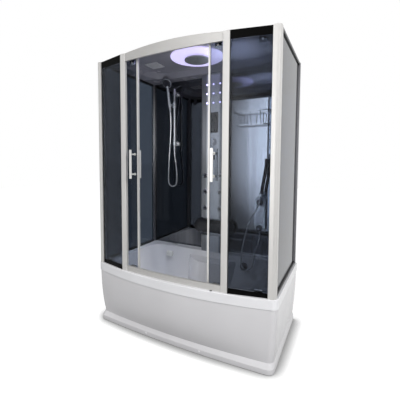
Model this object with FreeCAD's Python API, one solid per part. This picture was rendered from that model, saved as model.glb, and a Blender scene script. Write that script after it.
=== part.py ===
import FreeCAD, Part
import math
import os

# Shower cabin over a bow-fronted bathtub, all lengths in millimetres.
# X runs across the cabin, +X to the right seen from the front, Y runs to the
# back wall, Z up from the floor. The origin is the middle of the footprint.

os.makedirs("parts", exist_ok=True)
V = FreeCAD.Vector
X_AXIS = V(1, 0, 0)
Y_AXIS = V(0, 1, 0)
Z_AXIS = V(0, 0, 1)

# Running clearances and seats
FIT = 0.3                # running gap between a moving piece and its seat
CUT = 5.0                # overrun of every cut past the face that it opens

# Bathtub
TUB_WIDTH = 1500.0       # rim, side to side
TUB_DEPTH = 875.0        # back edge to the crown of the bowed front
RIM_HEIGHT = 495.0       # deck that the walls stand on
RIM_BAND = 65.0          # turned-down edge of the rim
RIM_BOW = 100.0          # crown of the front edge in front of its ends
RIM_CORNER = 46.0        # radius of the two front corners
DECK_THICK = 8.0
SHELL_WALL = 5.0         # acrylic wall of the basin
BASIN_SIDE_DECK = 95.0   # deck beside the basin
BASIN_FRONT_DECK = 137.5
BASIN_BACK_DECK = 80.0
BASIN_CORNER = 130.0
WALL_DRAFT = 149.0       # from rim to floor the walls lean in by this much
BACKREST_DRAFT = 279.0   # the sloped right end leans in by this much
BASIN_FLOOR = 120.0      # height of the basin floor
FLOOR_CORNER_SHARE = 0.356    # floor corner radius over the floor's depth
ARMREST_INSET = 660.0    # middle of the armrests from the basin's left end
ARMREST_RADIUS = 262.0
ARMREST_DROP = 50.0      # armrest top below the deck
ARMREST_DRAFT = 36.0     # its wall runs out by this much down to the floor
ARMREST_BACK_REACH = 171.5
ARMREST_FRONT_REACH = 110.0

# Apron, given by sections from its top edge to the floor lip
APRON_WALL = 6.0
FLOOR_GAP = 2.0
APRON_INSET = 4.0        # apron face behind the rim band
COVE_HEIGHTS = (300.0, 150.0, 62.0)
COVE_END_INSETS = (8.0, 18.0, 26.0)      # behind the rim's edge, at the ends,
COVE_SIDE_INSETS = (6.5, 15.5, 25.5)     # at the front corners
COVE_APEX_INSETS = (10.5, 43.5, 85.5)    # and at the crown of the bow
LIP_HEIGHT = 34.0
LIP_END_INSET = 18.0
LIP_SIDE_INSET = -1.5
LIP_APEX_INSET = 69.5

# Steel frame and levelling feet
FRAME_TUBE = 20.0
FRAME_END_INSET = 54.0
FRAME_FRONT_INSET = 141.5
FRAME_BACK_INSET = 33.5
FRAME_BASE = 60.0
BEAM_LEFT_INSET = 346.0
BEAM_RIGHT_INSET = 266.0
MIDDLE_BEAM_X = 60.0
FOOT_INSET = 136.0       # outer feet from the frame's ends
FOOT_PAD_RADIUS = 26.0
FOOT_PAD_THICK = 10.0
FOOT_BOLT_RADIUS = 6.0
FOOT_NUT_RADIUS = 11.0
FOOT_NUT_THICK = 8.0

# Waste, plug, overflow knob and spout
WASTE_INSET = 365.0      # from the basin's right end
WASTE_BORE = 40.0
WASTE_FLANGE_RADIUS = 35.0
WASTE_FLANGE_THICK = 3.0
WASTE_TAIL = 66.0
WASTE_NUT_RADIUS = 30.0
WASTE_NUT_THICK = 7.0
PLUG_RADIUS = 24.0
PLUG_THICK = 5.0
PLUG_STEM_RADIUS = 4.0
PLUG_STEM_LENGTH = 56.0
WASTE_SPIDER = 4.0
KNOB_INSET = 335.0
KNOB_DROP = 73.5         # overflow centre below the deck
KNOB_RADIUS = 32.0
KNOB_THICK = 14.0
KNOB_SHAFT = 5.0
OVERFLOW_RADIUS = 36.0
OVERFLOW_THICK = 4.0
OVERFLOW_TAIL = 34.0
TAIL_RADIUS = 10.0       # threaded tails behind the basin wall
SPOUT_INSET = 200.0      # from the basin's left end
SPOUT_DROP = 74.5
SPOUT_WIDTH = 70.0
SPOUT_HEIGHT = 52.0
SPOUT_THICK = 22.0
SPOUT_MOUTH_WIDTH = 44.0
SPOUT_MOUTH_HEIGHT = 16.0
SPOUT_MOUTH_DEEP = 12.0

# Upright frame
POST_TOP = 2150.0
CORNER_POST_INSET = 16.5 # middle of the corner posts behind the rim's corner
CORNER_POST = 48.0
CORNER_POST_ROUND = 30.0
FIXED_BAY = 322.0        # middle of the door post from the post's outer face
DOOR_POST_WIDTH = 46.0
DOOR_POST_GAP = 2.0      # door post in front of the upper track
DOOR_POST_DEPTH = 22.0
DOOR_POST_ROUND = 4.0
REAR_POST = 30.0
SIDE_INSET = 12.0        # outer faces of the posts from the rim's edge
HEADER_INSET = 25.5
HEADER_SAG = 20.0
HEADER_THICK = 14.0
HEADER_DROP = 56.0
HEADER_CROWN = 18.0
SILL_HEIGHT = 42.0
SIDE_RAIL = 18.0
SIDE_RAIL_DEPTH = 20.0
GLASS = 5.0
PANE_SEAT = 0.5          # glass edge from the profile that holds it

# Sliding doors on one arc
TRACK_BOW = 81.3         # bow of the door glass's middle over the tub's width
TRACK_INSET = 57.5
DOOR_SHOWS = 129.0       # open door in front of the door post's middle
DOOR_END_GAP = 4.0       # open door from the corner post
MEETING_GAP = 3.0        # between the two leading edges when closed
DOOR_RISE = 27.0         # lower glass edge above the deck
DOOR_DROP = 46.0         # upper glass edge below the roof
TRACK_WEB_OUT = 14.0     # outer face of the track in front of the glass middle
TRACK_WALL = 3.0
TRACK_FLOOR_INNER = -1.0
LEDGE_RISE = 8.0         # running ledge above the upper glass edge
TRACK_RISE = 33.0
WHEEL_RADIUS = 12.5
WHEEL_WIDTH = 8.0
WHEEL_MID_OUT = 4.5
WHEEL_AXLE = 3.0
HANGER_WIDTH = 44.0
HANGER_THICK = 6.0
HANGER_DROP = 36.0
HANGER_RISE = 36.0
HANGER_INSET = 62.0      # hanger and shoe middle from the door's edges
LOWER_TRACK_HALF = 14.0
LOWER_TRACK_FLOOR = 4.0
LOWER_TRACK_WALL = 16.0
SHOE_HALF = 6.0
SHOE_BITE = 16.0
SHOE_WIDTH = 50.0
STRIP_WIDTH = 12.0
STRIP_DEPTH = 16.0
STRIP_GLASS_BITE = 8.0
HANDLE_FROM_LEAD = 40.0
HANDLE_LENGTH = 215.0
HANDLE_SPACING = 150.0
HANDLE_MIDDLE = 1325.0
HANDLE_OUT = 50.0
HANDLE_WIDTH = 20.0
HANDLE_THICK = 10.0
HANDLE_POST = 6.0
HANDLE_WASHER = 10.0
HANDLE_WASHER_THICK = 2.0

# Back wall and column
BACK_GLASS_INSET = 5.5   # front face of the back wall from the tub's edge
COLUMN_HALF = 125.0
COLUMN_OUT = 80.0        # column face in front of the back wall
COLUMN_WALL = 3.0
COLUMN_ROUND = 18.0
PEDESTAL_HALF = 125.0
PEDESTAL_OUT = 74.0
PEDESTAL_RISE = 156.0    # pedestal above the deck
NICHE_HEIGHT = 168.0     # room for the cushion up to the full-depth column
NICHE_OUT = 22.0         # backing plate behind the cushion
STAR_PITCH_X = 65.0
STAR_SHARES = (0.9286, 0.8663, 0.8032)      # heights as shares of the column's face
STAR_RADIUS = 7.0
STAR_RISE = 3.0
DISPLAY_HALF = 47.0
DISPLAY_SHARES = (0.5995, 0.737)
DISPLAY_THICK = 5.0
MIXER_SHARE = 0.5379
DIVERTER_SHARE = 0.438
ROSETTE_RADIUS = 36.0
ROSETTE_THICK = 5.0
TAP_SHAFT = 6.0
TAP_SHAFT_DEEP = 20.0
MIXER_RADIUS = 25.0
MIXER_LENGTH = 34.0
LEVER_CLEAR = 30.0       # lever tip above the star knob's lobes
LEVER_WIDTH = 14.0
LEVER_THICK = 8.0
STAR_KNOB_RADIUS = 16.0
STAR_KNOB_LENGTH = 30.0
STAR_LOBE_RADIUS = 9.0
STAR_LOBE_REACH = 19.0
STAR_LOBES = 5
JET_X = 77.0
JET_SHARES = (0.3013, 0.1878, 0.0714)
JET_RING_RADIUS = 26.0
JET_RING_THICK = 8.0
JET_BALL = 15.0
JET_TIP_RADIUS = 5.0
JET_TIP_LENGTH = 19.0
JET_BORE = 2.5
JET_FLAT = 12.0
VALVE_BODY_HALF = 26.0
VALVE_BODY_DEPTH = 34.0
VALVE_PIPE = 11.0
INLET_BORE = 18.6
INLET_LENGTH = 28.0
INLET_SPACING = 150.0
INLET_SHARE = 0.2487

# Cushion
CUSHION_HALF = 217.0
CUSHION_PLAY = 6.0       # above and below the cushion in its niche
CUSHION_FRONT_OUT = 100.0
CUSHION_EDGE_OUT = 66.0
CUSHION_GAP = 0.3
CUSHION_DRAW = 16.0
CUSHION_CORNER = 72.0
CUSHION_CROWN_INSET = 44.0

# Riser rail and handset
RISER_INSET = 320.0      # from the rim's left end
RISER_OUT = 62.0
RISER_RADIUS = 10.0
RISER_SHARE = 0.603      # lower end as a share of the wall's height
RISER_DROP = 87.0        # upper end below the roof
LOW_BRACKET = 37.0       # brackets from the rail's ends
HIGH_BRACKET = 43.0
BRACKET_RADIUS = 9.0
BRACKET_PLATE_RADIUS = 23.0
BRACKET_PLATE_THICK = 6.0
BRACKET_HUB = 16.0
BRACKET_HUB_HALF = 15.0
OUTLET_RADIUS = 8.5
OUTLET_LENGTH = 14.0
SLIDER_DROP = 158.0      # slider below the rail's upper end
SLIDER_RADIUS = 18.0
SLIDER_HALF = 24.0
SLIDER_ARM = 9.0
HANDSET_OFFSET = 45.0    # handset beside the rail
HANDSET_FORWARD = 20.0   # and in front of it
CRADLE_RADIUS = 16.0
CRADLE_HALF = 16.0
CRADLE_BORE = 11.5
HANDSET_LEAN = 12.0
HANDSET_REACH = 212.0
HANDSET_GRIP = 10.5
HANDSET_NECK = 13.0
HANDSET_TAIL = 36.0
HANDSET_HEAD_RADIUS = 48.0
HANDSET_HEAD_THICK = 24.0
HANDSET_HEAD_EDGE = 12.0
HANDSET_HEAD_TILT = 28.0
HOSE_RADIUS = 7.0
HOSE_LEAD = 90.0         # straight run below the handset
HOSE_LOOP = 392.0        # lowest point below the rail's lower end

# Shelf
SHELF_INNER_GAP = 65.0   # from the column
SHELF_OUTER_INSET = 230.0
SHELF_SHARE = 0.7075     # its tray as a share of the wall's height
SHELF_HEIGHT = 123.0
SHELF_REACH = 108.0
SHELF_BAR = 8.0
SHELF_WIRE = 3.0
SHELF_CORNER = 45.0
SHELF_TAPER = 26.0
SHELF_TRAY_THICK = 3.0
SHELF_TRAY_SLOTS = 7
SHELF_SLOT_WIDTH = 10.0
SHELF_LUG = 9.0

# Bath mixer plate and second handset
PLATE_INSET = 318.0      # from the rim's right end
PLATE_HALF = 46.0
PLATE_SHARES = (0.1475, 0.3317)
PLATE_OUT = 26.0
PLATE_ROUND = 40.0
BATH_KNOB_TOP_INSET = 50.0
BATH_KNOB_BOTTOM_INSET = 26.0
BATH_KNOB_NAMES = ("bath_knob_top", "bath_knob_bottom")
BATH_KNOB_RADIUS = 28.0
BATH_KNOB_LENGTH = 26.0
BATH_KNOB_ROUND = 5.0
BATH_SHAFT_DEEP = 12.0
CUP_RADIUS = 19.0
CUP_BORE = 13.5
CUP_HEIGHT = 30.0
CUP_OUT = 72.0
CUP_RISE = 20.0
BATH_LEAN = 9.0
BATH_GRIP_RADIUS = 11.5
BATH_GRIP_LENGTH = 290.0
BATH_HEAD_RADIUS = 26.0
BATH_HEAD_THICK = 22.0
BATH_TAIL = 12.0
BATH_HOSE_RADIUS = 6.0
BATH_HOSE_LEAD = 55.0
BATH_HOSE_DIP = 75.0     # lowest point below the deck
NIPPLE_RADIUS = 9.0

# Roof
ROOF_SHEET = 4.0
ROOF_END_INSET = 5.0     # behind the posts' outer faces
ROOF_BACK_INSET = 3.5
ROOF_SIDE_INSET = 19.5
ROOF_APEX_INSET = 49.5
DOME_END_INSET = 138.0
DOME_FRONT_INSET = 141.5
DOME_BACK_INSET = 119.5
DOME_CORNER = 200.0
DOME_RISE = 42.0
DOME_DRAFT = 46.0
LIGHT_BEHIND = 9.0       # behind the middle of the roof's recess
LIGHT_SHARE = 0.35       # outer radius over the depth of the recess
LIGHT_INNER = 60.0
LIGHT_THICK = 8.0
RAIN_RADIUS = 102.0
RAIN_THICK = 12.0
RAIN_DROP = 32.0
RAIN_NECK = 14.0
NOZZLE_RINGS = (30.0, 55.0, 80.0)
NOZZLE_COUNTS = (6, 12, 18)
NOZZLE_RADIUS = 2.5
NOZZLE_HEIGHT = 2.0
VENT_INSET = 189.0       # from the left end of the recess
VENT_BEHIND = 10.0       # behind the light's middle
VENT_HALF = 62.0
VENT_THICK = 6.0
VENT_SLATS = 6
VENT_SLOT = 9.0
FAN_RADIUS = 55.0
FAN_HOUSING_HALF = 60.0
FAN_HEIGHT = 25.0
FAN_HUB = 18.0
FAN_BLADE = 3.0
FAN_BLADES = 7
FAN_SPOKE = 4.0
FAN_PITCH = 50.0         # turn of each blade, degrees

# Places worked out from the sizes above
HALF_WIDTH = TUB_WIDTH / 2
FRONT_Y = -TUB_DEPTH / 2
BACK_Y = TUB_DEPTH / 2
RIM_SIDE_Y = FRONT_Y + RIM_BOW
BAND_BOTTOM = RIM_HEIGHT - RIM_BAND
BASIN_LEFT = BASIN_SIDE_DECK - HALF_WIDTH
BASIN_RIGHT = HALF_WIDTH - BASIN_SIDE_DECK
BASIN_FRONT = FRONT_Y + BASIN_FRONT_DECK
BASIN_BACK = BACK_Y - BASIN_BACK_DECK
BASIN_DROP = RIM_HEIGHT - BASIN_FLOOR
FLOOR_DEPTH = BASIN_BACK - BASIN_FRONT - 2 * WALL_DRAFT
FLOOR_CORNER = FLOOR_DEPTH * FLOOR_CORNER_SHARE
ARMREST_X = BASIN_LEFT + ARMREST_INSET
ARMREST_BACK_Y = BASIN_BACK - ARMREST_BACK_REACH + ARMREST_RADIUS
ARMREST_FRONT_Y = BASIN_FRONT + ARMREST_FRONT_REACH - ARMREST_RADIUS
WASTE_X = BASIN_RIGHT - WASTE_INSET
KNOB_X = BASIN_RIGHT - KNOB_INSET
SPOUT_X = BASIN_LEFT + SPOUT_INSET
COVE_HALVES = [HALF_WIDTH - inset for inset in COVE_END_INSETS]
COVE_SIDES = [RIM_SIDE_Y + inset for inset in COVE_SIDE_INSETS]
COVE_APEXES = [FRONT_Y + inset for inset in COVE_APEX_INSETS]
LIP_HALF = HALF_WIDTH - LIP_END_INSET
LIP_SIDE = RIM_SIDE_Y + LIP_SIDE_INSET
LIP_APEX = FRONT_Y + LIP_APEX_INSET
FRAME_HALF = HALF_WIDTH - FRAME_END_INSET
FRAME_FRONT = FRONT_Y + FRAME_FRONT_INSET
FRAME_BACK = BACK_Y - FRAME_BACK_INSET
BEAM_XS = (BEAM_LEFT_INSET - FRAME_HALF, MIDDLE_BEAM_X, FRAME_HALF - BEAM_RIGHT_INSET)
FOOT_XS = (FOOT_INSET - FRAME_HALF, MIDDLE_BEAM_X, FRAME_HALF - FOOT_INSET)
SIDE_EDGE = HALF_WIDTH - SIDE_INSET
CORNER_POST_X = SIDE_EDGE - CORNER_POST / 2
CORNER_POST_Y = RIM_SIDE_Y + CORNER_POST_INSET
HEADER_APEX = FRONT_Y + HEADER_INSET
HEADER_BOTTOM = POST_TOP - HEADER_DROP
TRACK_APEX = FRONT_Y + TRACK_INSET
TRACK_RADIUS = (HALF_WIDTH ** 2 + TRACK_BOW ** 2) / (2 * TRACK_BOW)
TRACK_CENTRE = TRACK_APEX + TRACK_RADIUS
DOOR_POST_X = SIDE_EDGE - FIXED_BAY
DOOR_POST_EDGE = DOOR_POST_X - DOOR_POST_WIDTH / 2
TRACK_FACE = TRACK_RADIUS + TRACK_WEB_OUT
DOOR_POST_BACK = TRACK_CENTRE - math.sqrt(TRACK_FACE ** 2 - DOOR_POST_EDGE ** 2) - DOOR_POST_GAP
DOOR_POST_FRONT = DOOR_POST_BACK - DOOR_POST_DEPTH
DOOR_LEAD_X = DOOR_POST_X - DOOR_SHOWS
DOOR_TRAIL_X = SIDE_EDGE - CORNER_POST - DOOR_END_GAP
DOOR_BOTTOM = RIM_HEIGHT + DOOR_RISE
DOOR_TOP = POST_TOP - DOOR_DROP
LEDGE_TOP = DOOR_TOP + LEDGE_RISE
TRACK_TOP = LEDGE_TOP + TRACK_RISE
BACK_GLASS = BACK_Y - BACK_GLASS_INSET
COLUMN_FRONT = BACK_GLASS - COLUMN_OUT
PEDESTAL_TOP = RIM_HEIGHT + PEDESTAL_RISE
COLUMN_FOOT = PEDESTAL_TOP + NICHE_HEIGHT
COLUMN_FACE = POST_TOP - COLUMN_FOOT
STAR_HEIGHTS = [COLUMN_FOOT + COLUMN_FACE * share for share in STAR_SHARES]
JET_HEIGHTS = [COLUMN_FOOT + COLUMN_FACE * share for share in JET_SHARES]
DISPLAY_BOTTOM, DISPLAY_TOP = [COLUMN_FOOT + COLUMN_FACE * share for share in DISPLAY_SHARES]
MIXER_Z = COLUMN_FOOT + COLUMN_FACE * MIXER_SHARE
DIVERTER_Z = COLUMN_FOOT + COLUMN_FACE * DIVERTER_SHARE
INLET_Z = COLUMN_FOOT + COLUMN_FACE * INLET_SHARE
CUSHION_BOTTOM = PEDESTAL_TOP + CUSHION_PLAY
CUSHION_TOP = COLUMN_FOOT - CUSHION_PLAY
WALL_HEIGHT = POST_TOP - RIM_HEIGHT
RISER_X = RISER_INSET - HALF_WIDTH
RISER_BOTTOM = RIM_HEIGHT + WALL_HEIGHT * RISER_SHARE
RISER_TOP = POST_TOP - RISER_DROP
BRACKET_HEIGHTS = (RISER_BOTTOM + LOW_BRACKET, RISER_TOP - HIGH_BRACKET)
SLIDER_Z = RISER_TOP - SLIDER_DROP
SHELF_X0 = COLUMN_HALF + SHELF_INNER_GAP
SHELF_X1 = HALF_WIDTH - SHELF_OUTER_INSET
SHELF_BOTTOM = RIM_HEIGHT + WALL_HEIGHT * SHELF_SHARE
SHELF_TOP = SHELF_BOTTOM + SHELF_HEIGHT
PLATE_X = HALF_WIDTH - PLATE_INSET
PLATE_BOTTOM, PLATE_TOP = [RIM_HEIGHT + WALL_HEIGHT * share for share in PLATE_SHARES]
BATH_KNOB_HEIGHTS = (PLATE_TOP - BATH_KNOB_TOP_INSET, PLATE_BOTTOM + BATH_KNOB_BOTTOM_INSET)
ROOF_HALF = SIDE_EDGE - ROOF_END_INSET
ROOF_BACK = BACK_Y - ROOF_BACK_INSET
ROOF_SIDE_FRONT = RIM_SIDE_Y + ROOF_SIDE_INSET
ROOF_APEX = FRONT_Y + ROOF_APEX_INSET
DOME_HALF = HALF_WIDTH - DOME_END_INSET
DOME_FRONT = FRONT_Y + DOME_FRONT_INSET
DOME_BACK = BACK_Y - DOME_BACK_INSET
LIGHT_Y = (DOME_FRONT + DOME_BACK) / 2 + LIGHT_BEHIND
LIGHT_OUTER = (DOME_BACK - DOME_FRONT) * LIGHT_SHARE
VENT_X = VENT_INSET - DOME_HALF
VENT_Y = LIGHT_Y + VENT_BEHIND
ROOF_UNDER = POST_TOP
DOME_UNDER = ROOF_UNDER + DOME_RISE
LEAD_ANGLE = math.degrees(math.asin(DOOR_LEAD_X / TRACK_RADIUS))
TRAIL_ANGLE = math.degrees(math.asin(DOOR_TRAIL_X / TRACK_RADIUS))
STRIP_ANGLE = math.degrees(STRIP_WIDTH / TRACK_RADIUS)
CLOSED_ANGLE = math.degrees(MEETING_GAP / 2 / TRACK_RADIUS)
print("each door turns", round(LEAD_ANGLE - CLOSED_ANGLE, 4), "degrees to meet the other")


# Building blocks
def box(x0, x1, y0, y1, z0, z1):
    return Part.makeBox(x1 - x0, y1 - y0, z1 - z0, V(x0, y0, z0))


def rod(radius, start, end):
    step = end.sub(start)
    return Part.makeCylinder(radius, step.Length, start, step)


def rounded_outline(x0, x1, y0, y1, r, z):
    """Rectangle with four round corners."""
    k = 1 - math.sqrt(2) / 2
    edges = [
        Part.makeLine(V(x0 + r, y0, z), V(x1 - r, y0, z)),
        Part.Arc(V(x1 - r, y0, z), V(x1 - k * r, y0 + k * r, z), V(x1, y0 + r, z)).toShape(),
        Part.makeLine(V(x1, y0 + r, z), V(x1, y1 - r, z)),
        Part.Arc(V(x1, y1 - r, z), V(x1 - k * r, y1 - k * r, z), V(x1 - r, y1, z)).toShape(),
        Part.makeLine(V(x1 - r, y1, z), V(x0 + r, y1, z)),
        Part.Arc(V(x0 + r, y1, z), V(x0 + k * r, y1 - k * r, z), V(x0, y1 - r, z)).toShape(),
        Part.makeLine(V(x0, y1 - r, z), V(x0, y0 + r, z)),
        Part.Arc(V(x0, y0 + r, z), V(x0 + k * r, y0 + k * r, z), V(x0 + r, y0, z)).toShape(),
    ]
    return Part.Wire(edges)


def rounded_plate(x0, x1, y0, y1, r, z0, z1):
    return Part.Face(rounded_outline(x0, x1, y0, y1, r, z0)).extrude(V(0, 0, z1 - z0))


def bowed_outline(half, back, side, apex, r, z):
    """Straight back and sides, one arc in front, both front corners round."""
    sag = side - apex
    radius = (half ** 2 + sag ** 2) / (2 * sag)
    centre = V(0, apex + radius, z)
    cx = half - r
    cy = centre.y - math.sqrt((radius - r) ** 2 - cx ** 2)
    corner = V(cx, cy, z)
    on_side = V(half, cy, z)
    away = corner.sub(centre).normalize()
    on_front = centre.add(away * radius)
    middle = corner.add(away.add(X_AXIS).normalize() * r)

    def flip(p):
        return V(-p.x, p.y, p.z)

    edges = [
        Part.makeLine(V(-half, back, z), V(half, back, z)),
        Part.makeLine(V(half, back, z), on_side),
        Part.Arc(on_side, middle, on_front).toShape(),
        Part.Arc(on_front, V(0, apex, z), flip(on_front)).toShape(),
        Part.Arc(flip(on_front), flip(middle), flip(on_side)).toShape(),
        Part.makeLine(flip(on_side), V(-half, back, z)),
    ]
    return Part.Wire(edges)


def bowed_plate(half, back, side, apex, r, z0, z1):
    return Part.Face(bowed_outline(half, back, side, apex, r, z0)).extrude(V(0, 0, z1 - z0))


def arc_y(radius, centre_y, x):
    return centre_y - math.sqrt(radius ** 2 - x ** 2)


def curved_band(centre_y, r_out, r_in, x0, x1, z0, z1):
    """Upright band between two arcs about (0, centre_y), its ends square to X."""
    xm = (x0 + x1) / 2
    a, b, c = [V(x, arc_y(r_out, centre_y, x), z0) for x in (x0, xm, x1)]
    d, e, f = [V(x, arc_y(r_in, centre_y, x), z0) for x in (x0, xm, x1)]
    edges = [
        Part.Arc(a, b, c).toShape(),
        Part.makeLine(c, f),
        Part.Arc(f, e, d).toShape(),
        Part.makeLine(d, a),
    ]
    return Part.Face(Part.Wire(edges)).extrude(V(0, 0, z1 - z0))


def track_band(out0, out1, half, z0, z1):
    """Band on the doors' arc, out0 to out1 in front of the glass middle."""
    return curved_band(TRACK_CENTRE, TRACK_RADIUS + out1, TRACK_RADIUS + out0, -half, half, z0, z1)


def on_track(shape, angle):
    """Carry a piece built at the arc's apex round the arc, + to the right."""
    turned = shape.copy()
    turned.rotate(V(0, TRACK_CENTRE, 0), Z_AXIS, angle)
    return turned


def track_sector(out0, out1, angle0, angle1, z0, z1):
    """Band on the doors' arc with radial ends."""
    def point(out, angle):
        r = TRACK_RADIUS + out
        t = math.radians(angle)
        return V(r * math.sin(t), TRACK_CENTRE - r * math.cos(t), z0)
    mid = (angle0 + angle1) / 2
    edges = [
        Part.Arc(point(out1, angle0), point(out1, mid), point(out1, angle1)).toShape(),
        Part.makeLine(point(out1, angle1), point(out0, angle1)),
        Part.Arc(point(out0, angle1), point(out0, mid), point(out0, angle0)).toShape(),
        Part.makeLine(point(out0, angle0), point(out1, angle0)),
    ]
    return Part.Face(Part.Wire(edges)).extrude(V(0, 0, z1 - z0))


def fuse(shapes):
    return shapes[0].multiFuse(shapes[1:]).removeSplitter() if len(shapes) > 1 else shapes[0]


def upright_edges(shape, x_sign=0, front=None):
    """Vertical edges, filtered by side of the piece's middle and by front or back."""
    middle = shape.BoundBox.Center
    found = []
    for edge in shape.Edges:
        ends = [v.Point for v in edge.Vertexes]
        if len(ends) != 2 or abs(ends[0].x - ends[1].x) + abs(ends[0].y - ends[1].y) > FIT:
            continue
        if x_sign and (ends[0].x - middle.x) * x_sign < 0:
            continue
        if front is not None and (ends[0].y < middle.y) != front:
            continue
        found.append(edge)
    return found


def mirrored(shape):
    return shape.mirror(V(0, 0, 0), X_AXIS)


def cord_path(points):
    """Straight runs joined by arcs as large as the runs allow; prints the radii."""
    edges = []
    radii = []
    start = points[0]
    for before, corner, after in zip(points, points[1:], points[2:]):
        into = corner.sub(before)
        out = after.sub(corner)
        turn = into.getAngle(out)
        reach = 0.45 * min(into.Length, out.Length)
        radii.append(reach / math.tan(turn / 2))
        into.normalize()
        out.normalize()
        first = corner.sub(into * reach)
        last = corner.add(out * reach)
        bisector = out.sub(into).normalize()
        centre = corner.add(bisector * (radii[-1] / math.cos(turn / 2)))
        middle = centre.sub(bisector * radii[-1])
        edges.append(Part.LineSegment(start, first).toShape())
        edges.append(Part.Arc(first, middle, last).toShape())
        start = last
    edges.append(Part.LineSegment(start, points[-1]).toShape())
    return Part.Wire(edges), radii


def cord_tube(name, points, radius):
    path, radii = cord_path(points)
    step = points[1].sub(points[0])
    ring = Part.Wire([Part.makeCircle(radius, points[0], step)])
    solid = path.makePipeShell([ring], True, False)
    expected = math.pi * radius ** 2 * path.Length
    print(name, "length", round(path.Length), "radii", [round(r) for r in radii])
    print(name, "volume over section times length", round(solid.Volume / expected, 4))
    return solid


def save(name, *shapes):
    shape = shapes[0] if len(shapes) == 1 else Part.makeCompound(list(shapes))
    if not shape.isValid():
        print("INVALID", name)
    print(name, len(shape.Solids), "solids", round(shape.Volume / 1000, 1), "cm3")
    shape.exportStep("parts/" + name + ".step")


# Bathtub shell
def armrest(centre_y, shrink):
    """A round armrest that stands out of the basin's wall."""
    foot = V(ARMREST_X, centre_y, BASIN_FLOOR - CUT * 2)
    height = RIM_HEIGHT - ARMREST_DROP - shrink - foot.z
    top_radius = ARMREST_RADIUS - shrink
    return Part.makeCone(top_radius + ARMREST_DRAFT, top_radius, height, foot, Z_AXIS)


def basin_solid(grow):
    """The hollow of the basin, or with grow the body that its wall is cut from."""
    top = RIM_HEIGHT - (DECK_THICK / 2 if grow else 0)
    rim = rounded_outline(BASIN_LEFT - grow, BASIN_RIGHT + grow, BASIN_FRONT - grow, BASIN_BACK + grow,
                          BASIN_CORNER + grow, top)
    floor = rounded_outline(BASIN_LEFT + WALL_DRAFT - grow, BASIN_RIGHT - BACKREST_DRAFT + grow,
                            BASIN_FRONT + WALL_DRAFT - grow, BASIN_BACK - WALL_DRAFT + grow,
                            FLOOR_CORNER + grow, BASIN_FLOOR - grow)
    hollow = Part.makeLoft([rim, floor], True, True)
    for centre_y in (ARMREST_BACK_Y, ARMREST_FRONT_Y):
        hollow = hollow.cut(armrest(centre_y, grow))
    return hollow


def tub_shell():
    rim = bowed_plate(HALF_WIDTH, BACK_Y, RIM_SIDE_Y, FRONT_Y, RIM_CORNER, BAND_BOTTOM, RIM_HEIGHT)
    inside = bowed_plate(HALF_WIDTH - DECK_THICK, BACK_Y - DECK_THICK, RIM_SIDE_Y + DECK_THICK,
                         FRONT_Y + DECK_THICK, RIM_CORNER - DECK_THICK,
                         BAND_BOTTOM - CUT, RIM_HEIGHT - DECK_THICK)
    rim = rim.cut(inside)
    top_edges = [e for e in rim.Edges
                 if abs(e.BoundBox.ZMin - RIM_HEIGHT) < FIT and e.BoundBox.YMin < RIM_SIDE_Y + RIM_CORNER
                 and e.BoundBox.ZLength < FIT]
    rim = rim.makeFillet(DECK_THICK * 0.6, top_edges)
    shell = rim.fuse(basin_solid(SHELL_WALL)).cut(basin_solid(0))
    under = BASIN_FLOOR - SHELL_WALL - CUT
    shell = shell.cut(rod(WASTE_BORE / 2 + FIT, V(WASTE_X, 0, under), V(WASTE_X, 0, RIM_HEIGHT)))
    for x, drop in ((KNOB_X, KNOB_DROP), (SPOUT_X, SPOUT_DROP)):
        hole = rod(TAIL_RADIUS + FIT, V(0, -CUT * 2, 0), V(0, CUT * 4, 0))
        shell = shell.cut(on_basin_wall(hole, x, RIM_HEIGHT - drop))
    return shell.removeSplitter()


def on_basin_wall(shape, x, z):
    """Seat a piece built round the Y axis on the sloping back wall of the basin."""
    seated = shape.copy()
    seated.rotate(V(0, 0, 0), X_AXIS, -math.degrees(math.atan2(WALL_DRAFT, BASIN_DROP)))
    wall_y = BASIN_BACK - WALL_DRAFT * (RIM_HEIGHT - z) / BASIN_DROP
    seated.translate(V(x, wall_y, z))
    return seated


# Apron
def apron_sections(grow):
    rows = [(BAND_BOTTOM, HALF_WIDTH - APRON_INSET, RIM_SIDE_Y + APRON_INSET, FRONT_Y + APRON_INSET)]
    rows += list(zip(COVE_HEIGHTS, COVE_HALVES, COVE_SIDES, COVE_APEXES))
    cove = [bowed_outline(half - grow, BACK_Y - APRON_INSET + grow, side + grow, apex + grow,
                          RIM_CORNER - grow, z) for z, half, side, apex in rows]
    low = [cove[-1]]
    for z in (LIP_HEIGHT, FLOOR_GAP):
        low.append(bowed_outline(LIP_HALF - grow, BACK_Y - APRON_INSET + grow, LIP_SIDE + grow,
                                 LIP_APEX + grow, RIM_CORNER - grow, z))
    return fuse([Part.makeLoft(cove, True, False), Part.makeLoft(low, True, True)])


def apron():
    return apron_sections(0).cut(apron_sections(APRON_WALL))


# Steel frame under the tub
def tub_frame():
    t = FRAME_TUBE
    z0 = FRAME_BASE
    z1 = FRAME_BASE + t
    x = FRAME_HALF
    y0 = FRAME_FRONT
    y1 = FRAME_BACK
    parts = [
        box(-x, x, y0, y0 + t, z0, z1), box(-x, x, y1 - t, y1, z0, z1),
        box(-x, -x + t, y0, y1, z0, z1), box(x - t, x, y0, y1, z0, z1),
    ]
    for beam_x in BEAM_XS:
        parts.append(box(beam_x - t / 2, beam_x + t / 2, y0, y1, z0, BASIN_FLOOR - SHELL_WALL))
    for sx in (-x, x - t):
        for sy in (y0, y1 - t):
            parts.append(box(sx, sx + t, sy, sy + t, z0, RIM_HEIGHT - DECK_THICK))
    return fuse(parts)


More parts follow.
